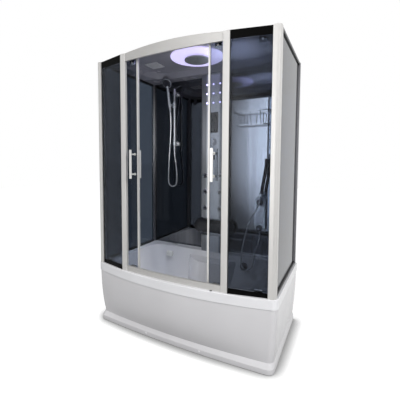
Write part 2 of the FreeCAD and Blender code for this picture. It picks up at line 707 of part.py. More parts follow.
def levelling_feet():
    feet = []
    mid = FRAME_TUBE / 2
    for x in FOOT_XS:
        for y in (FRAME_FRONT + mid, FRAME_BACK - mid):
            pad = rod(FOOT_PAD_RADIUS, V(x, y, 0), V(x, y, FOOT_PAD_THICK))
            bolt = rod(FOOT_BOLT_RADIUS, V(x, y, FOOT_PAD_THICK), V(x, y, FRAME_BASE))
            nut = rod(FOOT_NUT_RADIUS, V(x, y, FRAME_BASE - FOOT_NUT_THICK), V(x, y, FRAME_BASE))
            feet.append(fuse([pad, bolt, nut]))
    return feet


# Waste, overflow and spout
def waste_fitting():
    z = BASIN_FLOOR
    r = WASTE_BORE / 2
    bore = r - WASTE_FLANGE_THICK
    flange = rod(WASTE_FLANGE_RADIUS, V(WASTE_X, 0, z), V(WASTE_X, 0, z + WASTE_FLANGE_THICK))
    tail = rod(r, V(WASTE_X, 0, z - WASTE_TAIL), V(WASTE_X, 0, z))
    under = z - SHELL_WALL
    nut = rod(WASTE_NUT_RADIUS, V(WASTE_X, 0, under - WASTE_NUT_THICK), V(WASTE_X, 0, under))
    body = fuse([flange, tail, nut])
    body = body.cut(rod(bore, V(WASTE_X, 0, z - WASTE_TAIL - CUT), V(WASTE_X, 0, z + CUT)))
    guide_z = z - WASTE_TAIL / 2
    guide = rod(PLUG_STEM_RADIUS * 2, V(WASTE_X, 0, guide_z - WASTE_SPIDER), V(WASTE_X, 0, guide_z))
    arms = box(WASTE_X - r + FIT, WASTE_X + r - FIT, -WASTE_SPIDER / 2, WASTE_SPIDER / 2,
               guide_z - WASTE_SPIDER, guide_z)
    spider = fuse([guide, arms])
    spider = spider.cut(rod(PLUG_STEM_RADIUS + FIT, V(WASTE_X, 0, guide_z - CUT * 2),
                            V(WASTE_X, 0, guide_z + CUT)))
    return fuse([body, spider])


def waste_plug():
    z = BASIN_FLOOR + WASTE_FLANGE_THICK + FIT
    disc = rod(PLUG_RADIUS, V(WASTE_X, 0, z), V(WASTE_X, 0, z + PLUG_THICK))
    disc = disc.makeFillet(PLUG_THICK * 0.4, [e for e in disc.Edges if e.BoundBox.ZMin > z + FIT])
    stem = rod(PLUG_STEM_RADIUS, V(WASTE_X, 0, z - PLUG_STEM_LENGTH), V(WASTE_X, 0, z))
    return fuse([disc, stem])


def overflow_housing():
    ring = rod(OVERFLOW_RADIUS, V(0, -OVERFLOW_THICK, 0), V(0, 0, 0))
    tail = rod(TAIL_RADIUS, V(0, -OVERFLOW_THICK, 0), V(0, OVERFLOW_TAIL, 0))
    bore = rod(KNOB_SHAFT + FIT, V(0, -OVERFLOW_THICK - CUT, 0), V(0, OVERFLOW_TAIL + CUT, 0))
    return on_basin_wall(fuse([ring, tail]).cut(bore), KNOB_X, RIM_HEIGHT - KNOB_DROP)


def overflow_knob():
    y = -OVERFLOW_THICK - FIT
    disc = rod(KNOB_RADIUS, V(0, y - KNOB_THICK, 0), V(0, y, 0))
    disc = disc.makeFillet(KNOB_THICK * 0.3, [e for e in disc.Edges if e.BoundBox.YMax < y - FIT
                                              and e.BoundBox.YLength < FIT])
    for side in (-1, 1):
        disc = disc.cut(rod(KNOB_RADIUS * 0.45, V(side * KNOB_RADIUS, y - KNOB_THICK - CUT, 0),
                            V(side * KNOB_RADIUS, y - KNOB_THICK / 2, 0)))
    shaft = rod(KNOB_SHAFT, V(0, y, 0), V(0, OVERFLOW_TAIL, 0))
    return on_basin_wall(fuse([disc, shaft]), KNOB_X, RIM_HEIGHT - KNOB_DROP)


def bath_spout():
    w = SPOUT_WIDTH / 2
    h = SPOUT_HEIGHT / 2
    body = box(-w, w, -SPOUT_THICK, 0, -h, h)
    body = body.makeFillet(SPOUT_THICK * 0.18, [e for e in body.Edges if e.BoundBox.YMin < -FIT])
    w = SPOUT_MOUTH_WIDTH / 2
    h = SPOUT_MOUTH_HEIGHT / 2
    mouth = box(-w, w, -SPOUT_THICK - CUT, SPOUT_MOUTH_DEEP - SPOUT_THICK, -h, h)
    tail = rod(TAIL_RADIUS, V(0, -SPOUT_THICK * 0.3, 0), V(0, OVERFLOW_TAIL, 0))
    return on_basin_wall(fuse([body.cut(mouth), tail]), SPOUT_X, RIM_HEIGHT - SPOUT_DROP)


# Uprights and rails
def corner_posts():
    half = CORNER_POST / 2
    post = box(CORNER_POST_X - half, CORNER_POST_X + half, CORNER_POST_Y - half,
               CORNER_POST_Y + half, RIM_HEIGHT, POST_TOP)
    post = post.makeFillet(CORNER_POST_ROUND, upright_edges(post, 1, True))
    return [mirrored(post), post]


def door_posts():
    half = DOOR_POST_WIDTH / 2
    post = box(DOOR_POST_X - half, DOOR_POST_X + half, DOOR_POST_FRONT,
               DOOR_POST_FRONT + DOOR_POST_DEPTH, RIM_HEIGHT, POST_TOP)
    post = post.makeFillet(DOOR_POST_ROUND, upright_edges(post, 0, True))
    return [mirrored(post), post]


def rear_posts():
    post = box(SIDE_EDGE - REAR_POST, SIDE_EDGE, BACK_Y - REAR_POST, BACK_Y, RIM_HEIGHT, POST_TOP)
    return [mirrored(post), post]


def bow_rail(z0, z1):
    half = DOOR_POST_X - DOOR_POST_WIDTH / 2
    radius = (half ** 2 + HEADER_SAG ** 2) / (2 * HEADER_SAG)
    return curved_band(HEADER_APEX + radius, radius, radius - HEADER_THICK, -half, half, z0, z1)


def header_rail():
    half = DOOR_POST_X - DOOR_POST_WIDTH / 2
    crown = POST_TOP + HEADER_CROWN
    rail = bow_rail(HEADER_BOTTOM, crown + CUT)
    y = HEADER_APEX - CUT
    low = HEADER_BOTTOM
    edges = [
        Part.makeLine(V(-half, y, low), V(half, y, low)),
        Part.makeLine(V(half, y, low), V(half, y, POST_TOP)),
        Part.Arc(V(half, y, POST_TOP), V(0, y, crown), V(-half, y, POST_TOP)).toShape(),
        Part.makeLine(V(-half, y, POST_TOP), V(-half, y, low)),
    ]
    front = Part.Face(Part.Wire(edges)).extrude(V(0, HEADER_SAG + HEADER_THICK + CUT * 4, 0))
    return rail.common(front)


def sill_rail():
    return bow_rail(RIM_HEIGHT, RIM_HEIGHT + SILL_HEIGHT)


def side_rails():
    rails = []
    y0 = CORNER_POST_Y + CORNER_POST / 2
    y1 = BACK_Y - REAR_POST
    x1 = SIDE_EDGE - (REAR_POST - SIDE_RAIL_DEPTH) / 2
    x0 = x1 - SIDE_RAIL_DEPTH
    for z in (RIM_HEIGHT, POST_TOP - SIDE_RAIL):
        rail = box(x0, x1, y0, y1, z, z + SIDE_RAIL)
        rails += [mirrored(rail), rail]
    return rails


def side_panel():
    x = SIDE_EDGE - REAR_POST / 2
    pane = box(x - GLASS / 2, x + GLASS / 2, CORNER_POST_Y + CORNER_POST / 2 + PANE_SEAT,
               BACK_Y - REAR_POST - PANE_SEAT, RIM_HEIGHT + SIDE_RAIL, POST_TOP - SIDE_RAIL)
    return pane


def fixed_glass():
    """Flat pane between the door post and the corner post."""
    x0 = DOOR_POST_X + DOOR_POST_WIDTH / 2 + PANE_SEAT + GLASS / 4
    x1 = CORNER_POST_X - CORNER_POST / 2 - PANE_SEAT
    y0 = DOOR_POST_FRONT + GLASS
    y1 = CORNER_POST_Y - CORNER_POST / 2 + GLASS * 2
    along = V(x1 - x0, y1 - y0, 0).normalize()
    thick = V(-along.y, along.x, 0) * GLASS
    a = V(x0, y0, RIM_HEIGHT + FIT)
    b = V(x1, y1, RIM_HEIGHT + FIT)
    face = Part.Face(Part.makePolygon([a, b, b.add(thick), a.add(thick), a]))
    return face.extrude(V(0, 0, POST_TOP - FIT * 2 - RIM_HEIGHT))


def back_panel():
    return box(COLUMN_HALF + PANE_SEAT, SIDE_EDGE - REAR_POST - PANE_SEAT, BACK_GLASS,
               BACK_GLASS + GLASS, RIM_HEIGHT, POST_TOP)


# Door tracks
def track_half():
    return CORNER_POST_X - CORNER_POST / 2


def door_track_top():
    half = track_half()
    web = track_band(TRACK_WEB_OUT - TRACK_WALL, TRACK_WEB_OUT, half, LEDGE_TOP - TRACK_WALL, TRACK_TOP)
    inner = TRACK_FLOOR_INNER
    outer = TRACK_WEB_OUT - TRACK_WALL
    ledge = track_band(inner, outer, half, LEDGE_TOP - TRACK_WALL, LEDGE_TOP)
    cover = track_band(inner, outer, half, TRACK_TOP - TRACK_WALL, TRACK_TOP)
    return fuse([web, ledge, cover])


def door_track_bottom():
    half = track_half()
    top = RIM_HEIGHT + LOWER_TRACK_WALL
    base = track_band(-LOWER_TRACK_HALF, LOWER_TRACK_HALF, half, RIM_HEIGHT,
                      RIM_HEIGHT + LOWER_TRACK_FLOOR)
    inner = track_band(-LOWER_TRACK_HALF, TRACK_WALL - LOWER_TRACK_HALF, half, RIM_HEIGHT, top)
    outer = track_band(LOWER_TRACK_HALF - TRACK_WALL, LOWER_TRACK_HALF, half, RIM_HEIGHT, top)
    return fuse([base, inner, outer])


# Door pieces, built at the arc's apex or by angle, side +1 right and -1 left
def door_glass(side):
    near = LEAD_ANGLE + math.degrees((STRIP_WIDTH - STRIP_GLASS_BITE) / TRACK_RADIUS)
    angles = sorted((side * near, side * TRAIL_ANGLE))
    return track_sector(-GLASS / 2, GLASS / 2, angles[0], angles[1], DOOR_BOTTOM, DOOR_TOP)


def door_strip(side):
    angles = sorted((side * LEAD_ANGLE, side * (LEAD_ANGLE + STRIP_ANGLE)))
    strip = track_sector(-STRIP_DEPTH / 2, STRIP_DEPTH / 2, angles[0], angles[1], DOOR_BOTTOM, DOOR_TOP)
    return strip.cut(door_glass(side))


def hanger_angles(side):
    inset = math.degrees(HANGER_INSET / TRACK_RADIUS)
    return (side * (LEAD_ANGLE + inset), side * (TRAIL_ANGLE - inset))


def apex_y(out):
    """Y of a point at the arc's apex, out in front of the glass middle."""
    return TRACK_APEX - out


def door_fittings(side):
    """Hangers at the top and guide shoes at the bottom, clamped on the glass."""
    pieces = []
    axle_z = LEDGE_TOP + FIT + WHEEL_RADIUS
    half = HANGER_WIDTH / 2
    inner = apex_y(-GLASS / 2 - FIT)
    for angle in hanger_angles(side):
        plate = box(-half, half, inner, inner + HANGER_THICK,
                    DOOR_TOP - HANGER_DROP, DOOR_TOP + HANGER_RISE)
        outer = apex_y(WHEEL_MID_OUT + WHEEL_WIDTH / 2 + FIT)
        axle = rod(WHEEL_AXLE, V(0, inner, axle_z), V(0, outer, axle_z))
        clamp_z = DOOR_TOP - HANGER_DROP / 2
        bolt = rod(WHEEL_AXLE * 2, V(0, inner, clamp_z),
                   V(0, apex_y(GLASS / 2 + FIT + TRACK_WALL), clamp_z))
        pieces.append(on_track(fuse([plate, axle, bolt]), angle))
        low = RIM_HEIGHT + LOWER_TRACK_FLOOR + FIT
        w = SHOE_WIDTH / 2
        shoe = box(-w, w, apex_y(SHOE_HALF), apex_y(-SHOE_HALF), low, DOOR_BOTTOM + SHOE_BITE)
        pieces.append(on_track(shoe, angle))
    glass = door_glass(side)
    return [piece.cut(glass) for piece in pieces]


def roller(angle):
    axle_z = LEDGE_TOP + FIT + WHEEL_RADIUS
    y0 = apex_y(WHEEL_MID_OUT + WHEEL_WIDTH / 2)
    y1 = apex_y(WHEEL_MID_OUT - WHEEL_WIDTH / 2)
    wheel = rod(WHEEL_RADIUS, V(0, y0, axle_z), V(0, y1, axle_z))
    wheel = wheel.cut(rod(WHEEL_AXLE + FIT, V(0, y0 - CUT, axle_z), V(0, y1 + CUT, axle_z)))
    return on_track(wheel, angle)


def door_handle(side):
    """One bar on each side of the glass, joined by two through posts."""
    z = HANDLE_MIDDLE
    bars = []
    for out in (HANDLE_OUT, -HANDLE_OUT):
        y = apex_y(out)
        bar = box(-HANDLE_WIDTH / 2, HANDLE_WIDTH / 2, y - HANDLE_THICK / 2, y + HANDLE_THICK / 2,
                  z - HANDLE_LENGTH / 2, z + HANDLE_LENGTH / 2)
        bars.append(bar.makeFillet(HANDLE_THICK * 0.3, upright_edges(bar)))
    for dz in (-HANDLE_SPACING / 2, HANDLE_SPACING / 2):
        bars.append(rod(HANDLE_POST, V(0, apex_y(HANDLE_OUT), z + dz), V(0, apex_y(-HANDLE_OUT), z + dz)))
        for s in (-1, 1):
            face = s * (GLASS / 2 + FIT)
            bars.append(rod(HANDLE_WASHER, V(0, apex_y(face), z + dz),
                            V(0, apex_y(face + s * HANDLE_WASHER_THICK), z + dz)))
    angle = side * (LEAD_ANGLE + math.degrees(HANDLE_FROM_LEAD / TRACK_RADIUS))
    return on_track(fuse(bars), angle)


def drilled_glass(side):
    glass = door_glass(side)
    angle = side * (LEAD_ANGLE + math.degrees(HANDLE_FROM_LEAD / TRACK_RADIUS))
    holes = [(angle, HANDLE_MIDDLE - HANDLE_SPACING / 2, HANDLE_POST),
             (angle, HANDLE_MIDDLE + HANDLE_SPACING / 2, HANDLE_POST)]
    holes += [(a, DOOR_TOP - HANGER_DROP / 2, WHEEL_AXLE * 2) for a in hanger_angles(side)]
    for at, z, radius in holes:
        hole = rod(radius + FIT, V(0, apex_y(-HANDLE_OUT), z), V(0, apex_y(HANDLE_OUT), z))
        glass = glass.cut(on_track(hole, at))
    return glass


# Column and its fittings
def column():
    half = COLUMN_HALF
    top = POST_TOP
    outer = box(-half, half, COLUMN_FRONT, BACK_GLASS, COLUMN_FOOT, top)
    outer = outer.makeFillet(COLUMN_ROUND, upright_edges(outer, 0, True))
    niche = box(-half, half, BACK_GLASS - NICHE_OUT, BACK_GLASS, PEDESTAL_TOP, COLUMN_FOOT)
    foot = box(-PEDESTAL_HALF, PEDESTAL_HALF, BACK_GLASS - PEDESTAL_OUT, BACK_GLASS,
               RIM_HEIGHT, PEDESTAL_TOP)
    foot = foot.makeFillet(COLUMN_ROUND, upright_edges(foot, 0, True))
    back = box(-half, half, BACK_GLASS - COLUMN_WALL, BACK_GLASS + GLASS, RIM_HEIGHT, top)
    shell = fuse([outer, niche, foot, back])
    w = COLUMN_WALL
    hollow = [
        box(-half + w, half - w, COLUMN_FRONT + w, BACK_GLASS + GLASS + CUT, COLUMN_FOOT + w, top - w),
        box(-half + w, half - w, BACK_GLASS - NICHE_OUT + w, BACK_GLASS + GLASS + CUT,
            PEDESTAL_TOP - w, COLUMN_FOOT + w * 2),
        box(-half + w, half - w, BACK_GLASS - PEDESTAL_OUT + w, BACK_GLASS + GLASS + CUT,
            RIM_HEIGHT + w, PEDESTAL_TOP - w),
    ]
    for piece in hollow:
        shell = shell.cut(piece)
    for z in (MIXER_Z, DIVERTER_Z):
        shell = shell.cut(rod(TAP_SHAFT + FIT * 2, V(0, COLUMN_FRONT - CUT, z),
                              V(0, COLUMN_FRONT + CUT * 2, z)))
    for x in (-JET_X, JET_X):
        for z in JET_HEIGHTS:
            shell = shell.cut(rod(JET_BALL + FIT * 2, V(x, COLUMN_FRONT - CUT, z),
                                  V(x, COLUMN_FRONT + CUT * 2, z)))
    return shell


def display():
    y = COLUMN_FRONT
    plate = box(-DISPLAY_HALF, DISPLAY_HALF, y - DISPLAY_THICK, y, DISPLAY_BOTTOM, DISPLAY_TOP)
    return plate


def star_lights():
    lamps = []
    for x in (-STAR_PITCH_X, 0, STAR_PITCH_X):
        for z in STAR_HEIGHTS:
            lamp = rod(STAR_RADIUS, V(x, COLUMN_FRONT - STAR_RISE, z), V(x, COLUMN_FRONT, z))
            lamps.append(lamp)
    return lamps


def trim_rings():
    rings = []
    for z in (MIXER_Z, DIVERTER_Z):
        ring = rod(ROSETTE_RADIUS, V(0, COLUMN_FRONT - ROSETTE_THICK, z), V(0, COLUMN_FRONT, z))
        rings.append(ring.cut(rod(TAP_SHAFT + FIT, V(0, COLUMN_FRONT - ROSETTE_THICK - CUT, z),
                                  V(0, COLUMN_FRONT + CUT, z))))
    for x in (-JET_X, JET_X):
        for z in JET_HEIGHTS:
            ring = rod(JET_RING_RADIUS, V(x, COLUMN_FRONT - JET_RING_THICK, z), V(x, COLUMN_FRONT, z))
            ring = ring.makeFillet(JET_RING_THICK * 0.4,
                                   [e for e in ring.Edges if e.BoundBox.YMax < COLUMN_FRONT - FIT])
            rings.append(ring.cut(rod(JET_BALL + FIT, V(x, COLUMN_FRONT - JET_RING_THICK - CUT, z),
                                      V(x, COLUMN_FRONT + CUT, z))))
    return rings


def jet_nozzle(x, z):
    middle = V(x, COLUMN_FRONT - JET_RING_THICK / 2, z)
    ball = Part.makeSphere(JET_BALL, middle)
    tip = rod(JET_TIP_RADIUS, middle, middle.sub(Y_AXIS * JET_TIP_LENGTH))
    back = box(x - JET_BALL, x + JET_BALL, middle.y + JET_FLAT, middle.y + JET_BALL + CUT,
               z - JET_BALL, z + JET_BALL)
    bore = rod(JET_BORE, middle.sub(Y_AXIS * (JET_TIP_LENGTH + CUT)),
               middle.add(Y_AXIS * (JET_BALL + CUT)))
    return fuse([ball, tip]).cut(back).cut(bore)


def tap_shaft(z):
    front = COLUMN_FRONT - ROSETTE_THICK - FIT
    return rod(TAP_SHAFT, V(0, front, z), V(0, COLUMN_FRONT + TAP_SHAFT_DEEP, z))


def mixer_knob():
    front = COLUMN_FRONT - ROSETTE_THICK - FIT
    cap = rod(MIXER_RADIUS, V(0, front - MIXER_LENGTH, MIXER_Z), V(0, front, MIXER_Z))
    cap = cap.makeFillet(MIXER_RADIUS * 0.25, [e for e in cap.Edges if e.BoundBox.YMax < front - FIT
                                               and e.BoundBox.YLength < FIT])
    y = front - MIXER_LENGTH * 0.6
    lever_end = DIVERTER_Z + STAR_LOBE_REACH + STAR_LOBE_RADIUS + LEVER_CLEAR
    lever = box(-LEVER_WIDTH / 2, LEVER_WIDTH / 2, y - LEVER_THICK, y, lever_end, MIXER_Z)
    lever = lever.makeFillet(LEVER_THICK * 0.3, lever.Edges)
    return fuse([cap, lever, tap_shaft(MIXER_Z)])


def diverter_knob():
    front = COLUMN_FRONT - ROSETTE_THICK - FIT
    pieces = [rod(STAR_KNOB_RADIUS, V(0, front - STAR_KNOB_LENGTH, DIVERTER_Z), V(0, front, DIVERTER_Z))]
    for i in range(STAR_LOBES):
        t = 2 * math.pi * i / STAR_LOBES
        x = STAR_LOBE_REACH * math.sin(t)
        z = DIVERTER_Z + STAR_LOBE_REACH * math.cos(t)
        pieces.append(rod(STAR_LOBE_RADIUS, V(x, front - STAR_KNOB_LENGTH * 0.9, z),
                          V(x, front - STAR_KNOB_LENGTH * 0.2, z)))
    pieces.append(tap_shaft(DIVERTER_Z))
    return fuse(pieces)


def mixer_valves():
    """Brass valve bodies inside the column and their shared pipe with two inlets."""
    y0 = COLUMN_FRONT + TAP_SHAFT_DEEP + FIT
    y1 = y0 + VALVE_BODY_DEPTH
    mid = (y0 + y1) / 2
    h = VALVE_BODY_HALF
    pieces = [box(-h, h, y0, y1, z - h, z + h) for z in (MIXER_Z, DIVERTER_Z)]
    pieces.append(rod(VALVE_PIPE, V(0, mid, INLET_Z), V(0, mid, MIXER_Z)))
    reach = INLET_SPACING / 2
    pieces.append(rod(VALVE_PIPE, V(-reach, mid, INLET_Z), V(reach, mid, INLET_Z)))
    ends = BACK_GLASS + GLASS
    for x in (-reach, reach):
        pieces.append(Part.makeSphere(VALVE_PIPE, V(x, mid, INLET_Z)))
        pieces.append(rod(INLET_BORE / 2 + COLUMN_WALL, V(x, mid, INLET_Z), V(x, ends, INLET_Z)))
    body = fuse(pieces)
    for x in (-reach, reach):
        body = body.cut(rod(INLET_BORE / 2, V(x, ends - INLET_LENGTH, INLET_Z), V(x, ends + CUT, INLET_Z)))
    return body


# Cushion with a crown and drawn-in sides
def cushion():
    back = BACK_GLASS - NICHE_OUT - CUSHION_GAP
    edge = BACK_GLASS - CUSHION_EDGE_OUT
    crown = BACK_GLASS - CUSHION_FRONT_OUT

    def ring(inset, y):
        flat = rounded_outline(-CUSHION_HALF + inset, CUSHION_HALF - inset, CUSHION_BOTTOM + inset,
                               CUSHION_TOP - inset, CUSHION_CORNER - inset, 0)
        flat.rotate(V(0, 0, 0), X_AXIS, 90)
        flat.translate(V(0, y, 0))
        return flat
    middle = (back + edge) / 2
    rings = [
        ring(CUSHION_DRAW, back),
        ring(0, middle),
        ring(CUSHION_DRAW / 2, edge),
        ring(CUSHION_CROWN_INSET, crown),
    ]
    return Part.makeLoft(rings, True, False)


# Riser rail, slider, handset and hose
RISER_Y = BACK_GLASS - RISER_OUT
HANDSET_X = RISER_X - HANDSET_OFFSET
HANDSET_Y = RISER_Y - HANDSET_FORWARD
LEAN = math.radians(HANDSET_LEAN)
HANDSET_UP = V(0, -math.sin(LEAN), math.cos(LEAN))
PIVOT = V(HANDSET_X, HANDSET_Y, SLIDER_Z)
HANDSET_END = PIVOT.sub(HANDSET_UP * HANDSET_TAIL)


def riser_rail():
    pieces = [rod(RISER_RADIUS, V(RISER_X, RISER_Y, RISER_BOTTOM), V(RISER_X, RISER_Y, RISER_TOP))]
    pieces.append(rod(OUTLET_RADIUS, V(RISER_X, RISER_Y, RISER_BOTTOM - OUTLET_LENGTH),
                      V(RISER_X, RISER_Y, RISER_BOTTOM)))
    for z in BRACKET_HEIGHTS:
        pieces.append(rod(BRACKET_RADIUS, V(RISER_X, RISER_Y, z), V(RISER_X, BACK_GLASS, z)))
        pieces.append(rod(BRACKET_PLATE_RADIUS, V(RISER_X, BACK_GLASS - BRACKET_PLATE_THICK, z),
                          V(RISER_X, BACK_GLASS, z)))
        pieces.append(rod(BRACKET_HUB, V(RISER_X, RISER_Y, z - BRACKET_HUB_HALF),
                          V(RISER_X, RISER_Y, z + BRACKET_HUB_HALF)))
    return fuse(pieces)


def handset_slider():
    z = SLIDER_Z
    body = rod(SLIDER_RADIUS, V(RISER_X, RISER_Y, z - SLIDER_HALF), V(RISER_X, RISER_Y, z + SLIDER_HALF))
    arm_end = V(HANDSET_X + CRADLE_RADIUS + FIT, HANDSET_Y, z)
    arm = rod(SLIDER_ARM, V(RISER_X, HANDSET_Y, z), arm_end)
    link = rod(SLIDER_ARM, V(RISER_X, RISER_Y, z), V(RISER_X, HANDSET_Y - SLIDER_ARM, z))
    bore = rod(RISER_RADIUS + FIT, V(RISER_X, RISER_Y, z - SLIDER_HALF - CUT),
               V(RISER_X, RISER_Y, z + SLIDER_HALF + CUT))
    return fuse([body, arm, link]).cut(bore)


def handset_cradle():
    """Tilting sleeve that holds the handset."""
    low = PIVOT.sub(HANDSET_UP * CRADLE_HALF)
    high = PIVOT.add(HANDSET_UP * CRADLE_HALF)
    sleeve = rod(CRADLE_RADIUS, low, high)
    return sleeve.cut(rod(CRADLE_BORE, low.sub(HANDSET_UP * CUT), high.add(HANDSET_UP * CUT)))


def handset():
    grip_top = PIVOT.add(HANDSET_UP * (HANDSET_REACH - HANDSET_HEAD_RADIUS * 0.6))
    grip = rod(HANDSET_GRIP, HANDSET_END, grip_top)
    neck = rod(HANDSET_NECK, PIVOT.add(HANDSET_UP * (CRADLE_HALF + FIT)), grip_top)
    head_mid = PIVOT.add(HANDSET_UP * HANDSET_REACH)
    tilt = LEAN + math.radians(HANDSET_HEAD_TILT)
    facing = V(0, -math.cos(tilt), -math.sin(tilt))
    back = head_mid.sub(facing * (HANDSET_HEAD_THICK / 2))
    front = head_mid.add(facing * (HANDSET_HEAD_THICK / 2))
    edge = front.sub(facing * HANDSET_HEAD_EDGE)
    rim = rod(HANDSET_HEAD_RADIUS, edge, front)
    rise = edge.sub(back).Length
    dome = Part.makeCone(HANDSET_HEAD_RADIUS * 0.5, HANDSET_HEAD_RADIUS, rise, back, facing)
    return fuse([grip, neck, rim, dome])


def hanging_loop(lead, low, outlet, down, up):
    """Route points from a handset's lead over the lowest point to the outlet.

    Each point is its height as a share of the drop and its offsets from the outlet in X and Y.
    """
    points = [V(outlet.x + dx, outlet.y + dy, low + share * (lead.z - low)) for share, dx, dy in down]
    points += [V(outlet.x + dx, outlet.y + dy, low + share * (outlet.z - low)) for share, dx, dy in up]
    return points


SHOWER_HOSE_DOWN = (
    (0.843, -50.0, 11.0), (0.645, -56.0, 9.0), (0.454, -65.0, 7.0), (0.278, -72.0, 5.5),
    (0.153, -74.0, 4.7), (0.043, -72.5, 4.0), (0.0, -44.0, 3.0),
)
SHOWER_HOSE_UP = (
    (0.0, -3.0, 2.0), (0.077, 25.5, 1.3), (0.262, 29.0, 1.0), (0.5, 22.0, 0.5),
    (0.712, 8.0, 0.2), (0.87, 0.0, 0.0),
)


def shower_hose():
    end = HANDSET_END
    lead = end.sub(HANDSET_UP * HOSE_LEAD)
    outlet = V(RISER_X, RISER_Y, RISER_BOTTOM - OUTLET_LENGTH)
    loop = hanging_loop(lead, RISER_BOTTOM - HOSE_LOOP, outlet, SHOWER_HOSE_DOWN, SHOWER_HOSE_UP)
    points = [end, lead] + loop + [outlet]
    return cord_tube("shower_hose", points, HOSE_RADIUS)


# Wire shelf on the back wall
def shelf():
    y1 = BACK_GLASS - FIT
    y0 = BACK_GLASS - SHELF_REACH
    bar = SHELF_BAR
    t = SHELF_TAPER
    r = SHELF_CORNER

    def ring(inset, corner, z0, z1, low):
        outer = rounded_plate(SHELF_X0 + inset, SHELF_X1 - inset, y0 + inset, y1, corner, z0, z1)
        inner = rounded_plate(SHELF_X0 + inset + bar, SHELF_X1 - inset - bar, y0 + inset + bar,
                              y1 - bar, corner - bar, low, z1 + CUT)
        return outer.cut(inner)
    top = ring(0, r, SHELF_TOP - bar, SHELF_TOP, SHELF_TOP - bar - CUT)
    tray = ring(t, r - t / 2, SHELF_BOTTOM, SHELF_BOTTOM + bar, SHELF_BOTTOM + SHELF_TRAY_THICK)
    span = SHELF_X1 - SHELF_X0 - t * 2 - r
    for i in range(SHELF_TRAY_SLOTS):
        x = SHELF_X0 + t + r / 2 + span * (i + 0.5) / SHELF_TRAY_SLOTS
        tray = tray.cut(box(x - SHELF_SLOT_WIDTH / 2, x + SHELF_SLOT_WIDTH / 2, y0 + t + bar * 2,
                            y1 - bar * 2, SHELF_BOTTOM - CUT, SHELF_BOTTOM + CUT))
    low = SHELF_BOTTOM + bar / 2
    high = SHELF_TOP - bar / 2
    half = bar / 2
    side_y = (y0 + y1) / 2
    ends = (SHELF_X0 + t + r + bar, SHELF_X1 - t - r - bar)
    spots = [(x, y0 + t + half, x, y0 + half) for x in ends + ((SHELF_X0 + SHELF_X1) / 2,)]
    spots += [(SHELF_X0 + t + half, side_y, SHELF_X0 + half, side_y),
              (SHELF_X1 - t - half, side_y, SHELF_X1 - half, side_y)]
    spots += [(x, y1 - half, x, y1 - half) for x in ends]
    wires = [rod(SHELF_WIRE, V(x0, ya, low), V(x1, yb, high)) for x0, ya, x1, yb in spots]
    lugs = [rod(SHELF_LUG, V(x, y1 - bar * 0.8, high), V(x, BACK_GLASS, high)) for x in ends]
    return fuse([top, tray] + wires + lugs)


# Bath mixer plate, knobs, handset and hose
BATH_TILT = math.radians(BATH_LEAN)
BATH_UP = V(math.sin(BATH_TILT), 0, math.cos(BATH_TILT))
CUP_BASE = V(PLATE_X + CUP_RADIUS, BACK_GLASS - CUP_OUT, PLATE_TOP + CUP_RISE - CUP_HEIGHT / 2)
BATH_HANDSET_END = CUP_BASE.sub(BATH_UP * BATH_TAIL)


def bath_plate():
    y0 = BACK_GLASS - PLATE_OUT
    plate = box(PLATE_X - PLATE_HALF, PLATE_X + PLATE_HALF, y0, BACK_GLASS, PLATE_BOTTOM, PLATE_TOP)
    ends = [e for e in plate.Edges if e.BoundBox.YLength > PLATE_OUT / 2]
    plate = plate.makeFillet(PLATE_ROUND, ends)
    cup_top = CUP_BASE.add(BATH_UP * CUP_HEIGHT)
    cup = rod(CUP_RADIUS, CUP_BASE, cup_top)
    arm = box(CUP_BASE.x - CUP_RADIUS * 0.5, CUP_BASE.x + CUP_RADIUS * 0.5, CUP_BASE.y,
              BACK_GLASS - PLATE_OUT / 2, PLATE_TOP - CUP_RADIUS, CUP_BASE.z + CUP_HEIGHT / 2)
    nipple_y = BACK_GLASS - PLATE_OUT / 2
    nipple = rod(NIPPLE_RADIUS, V(PLATE_X, nipple_y, PLATE_BOTTOM - OUTLET_LENGTH),
                 V(PLATE_X, nipple_y, PLATE_BOTTOM + CUT))
    body = fuse([plate, cup, arm, nipple])
    body = body.cut(rod(CUP_BORE, CUP_BASE.sub(BATH_UP * CUP_HEIGHT), cup_top.add(BATH_UP * CUT)))
    shaft_end = y0 + BATH_SHAFT_DEEP + FIT
    for z in BATH_KNOB_HEIGHTS:
        body = body.cut(rod(TAP_SHAFT + FIT, V(PLATE_X, y0 - CUT, z), V(PLATE_X, shaft_end, z)))
    return body


def bath_knob(z):
    y0 = BACK_GLASS - PLATE_OUT - FIT
    knob = rod(BATH_KNOB_RADIUS, V(PLATE_X, y0 - BATH_KNOB_LENGTH, z), V(PLATE_X, y0, z))
    knob = knob.makeFillet(BATH_KNOB_ROUND, [e for e in knob.Edges if e.BoundBox.YMax < y0 - FIT
                                             and e.BoundBox.YLength < FIT])
    half = BATH_KNOB_RADIUS * 0.8
    ridge = box(PLATE_X - BATH_KNOB_ROUND, PLATE_X + BATH_KNOB_ROUND,
                y0 - BATH_KNOB_LENGTH - BATH_KNOB_ROUND, y0 - BATH_KNOB_LENGTH / 2, z - half, z + half)
    shaft = rod(TAP_SHAFT, V(PLATE_X, y0, z), V(PLATE_X, y0 + FIT + BATH_SHAFT_DEEP, z))
    return fuse([knob, ridge, shaft])


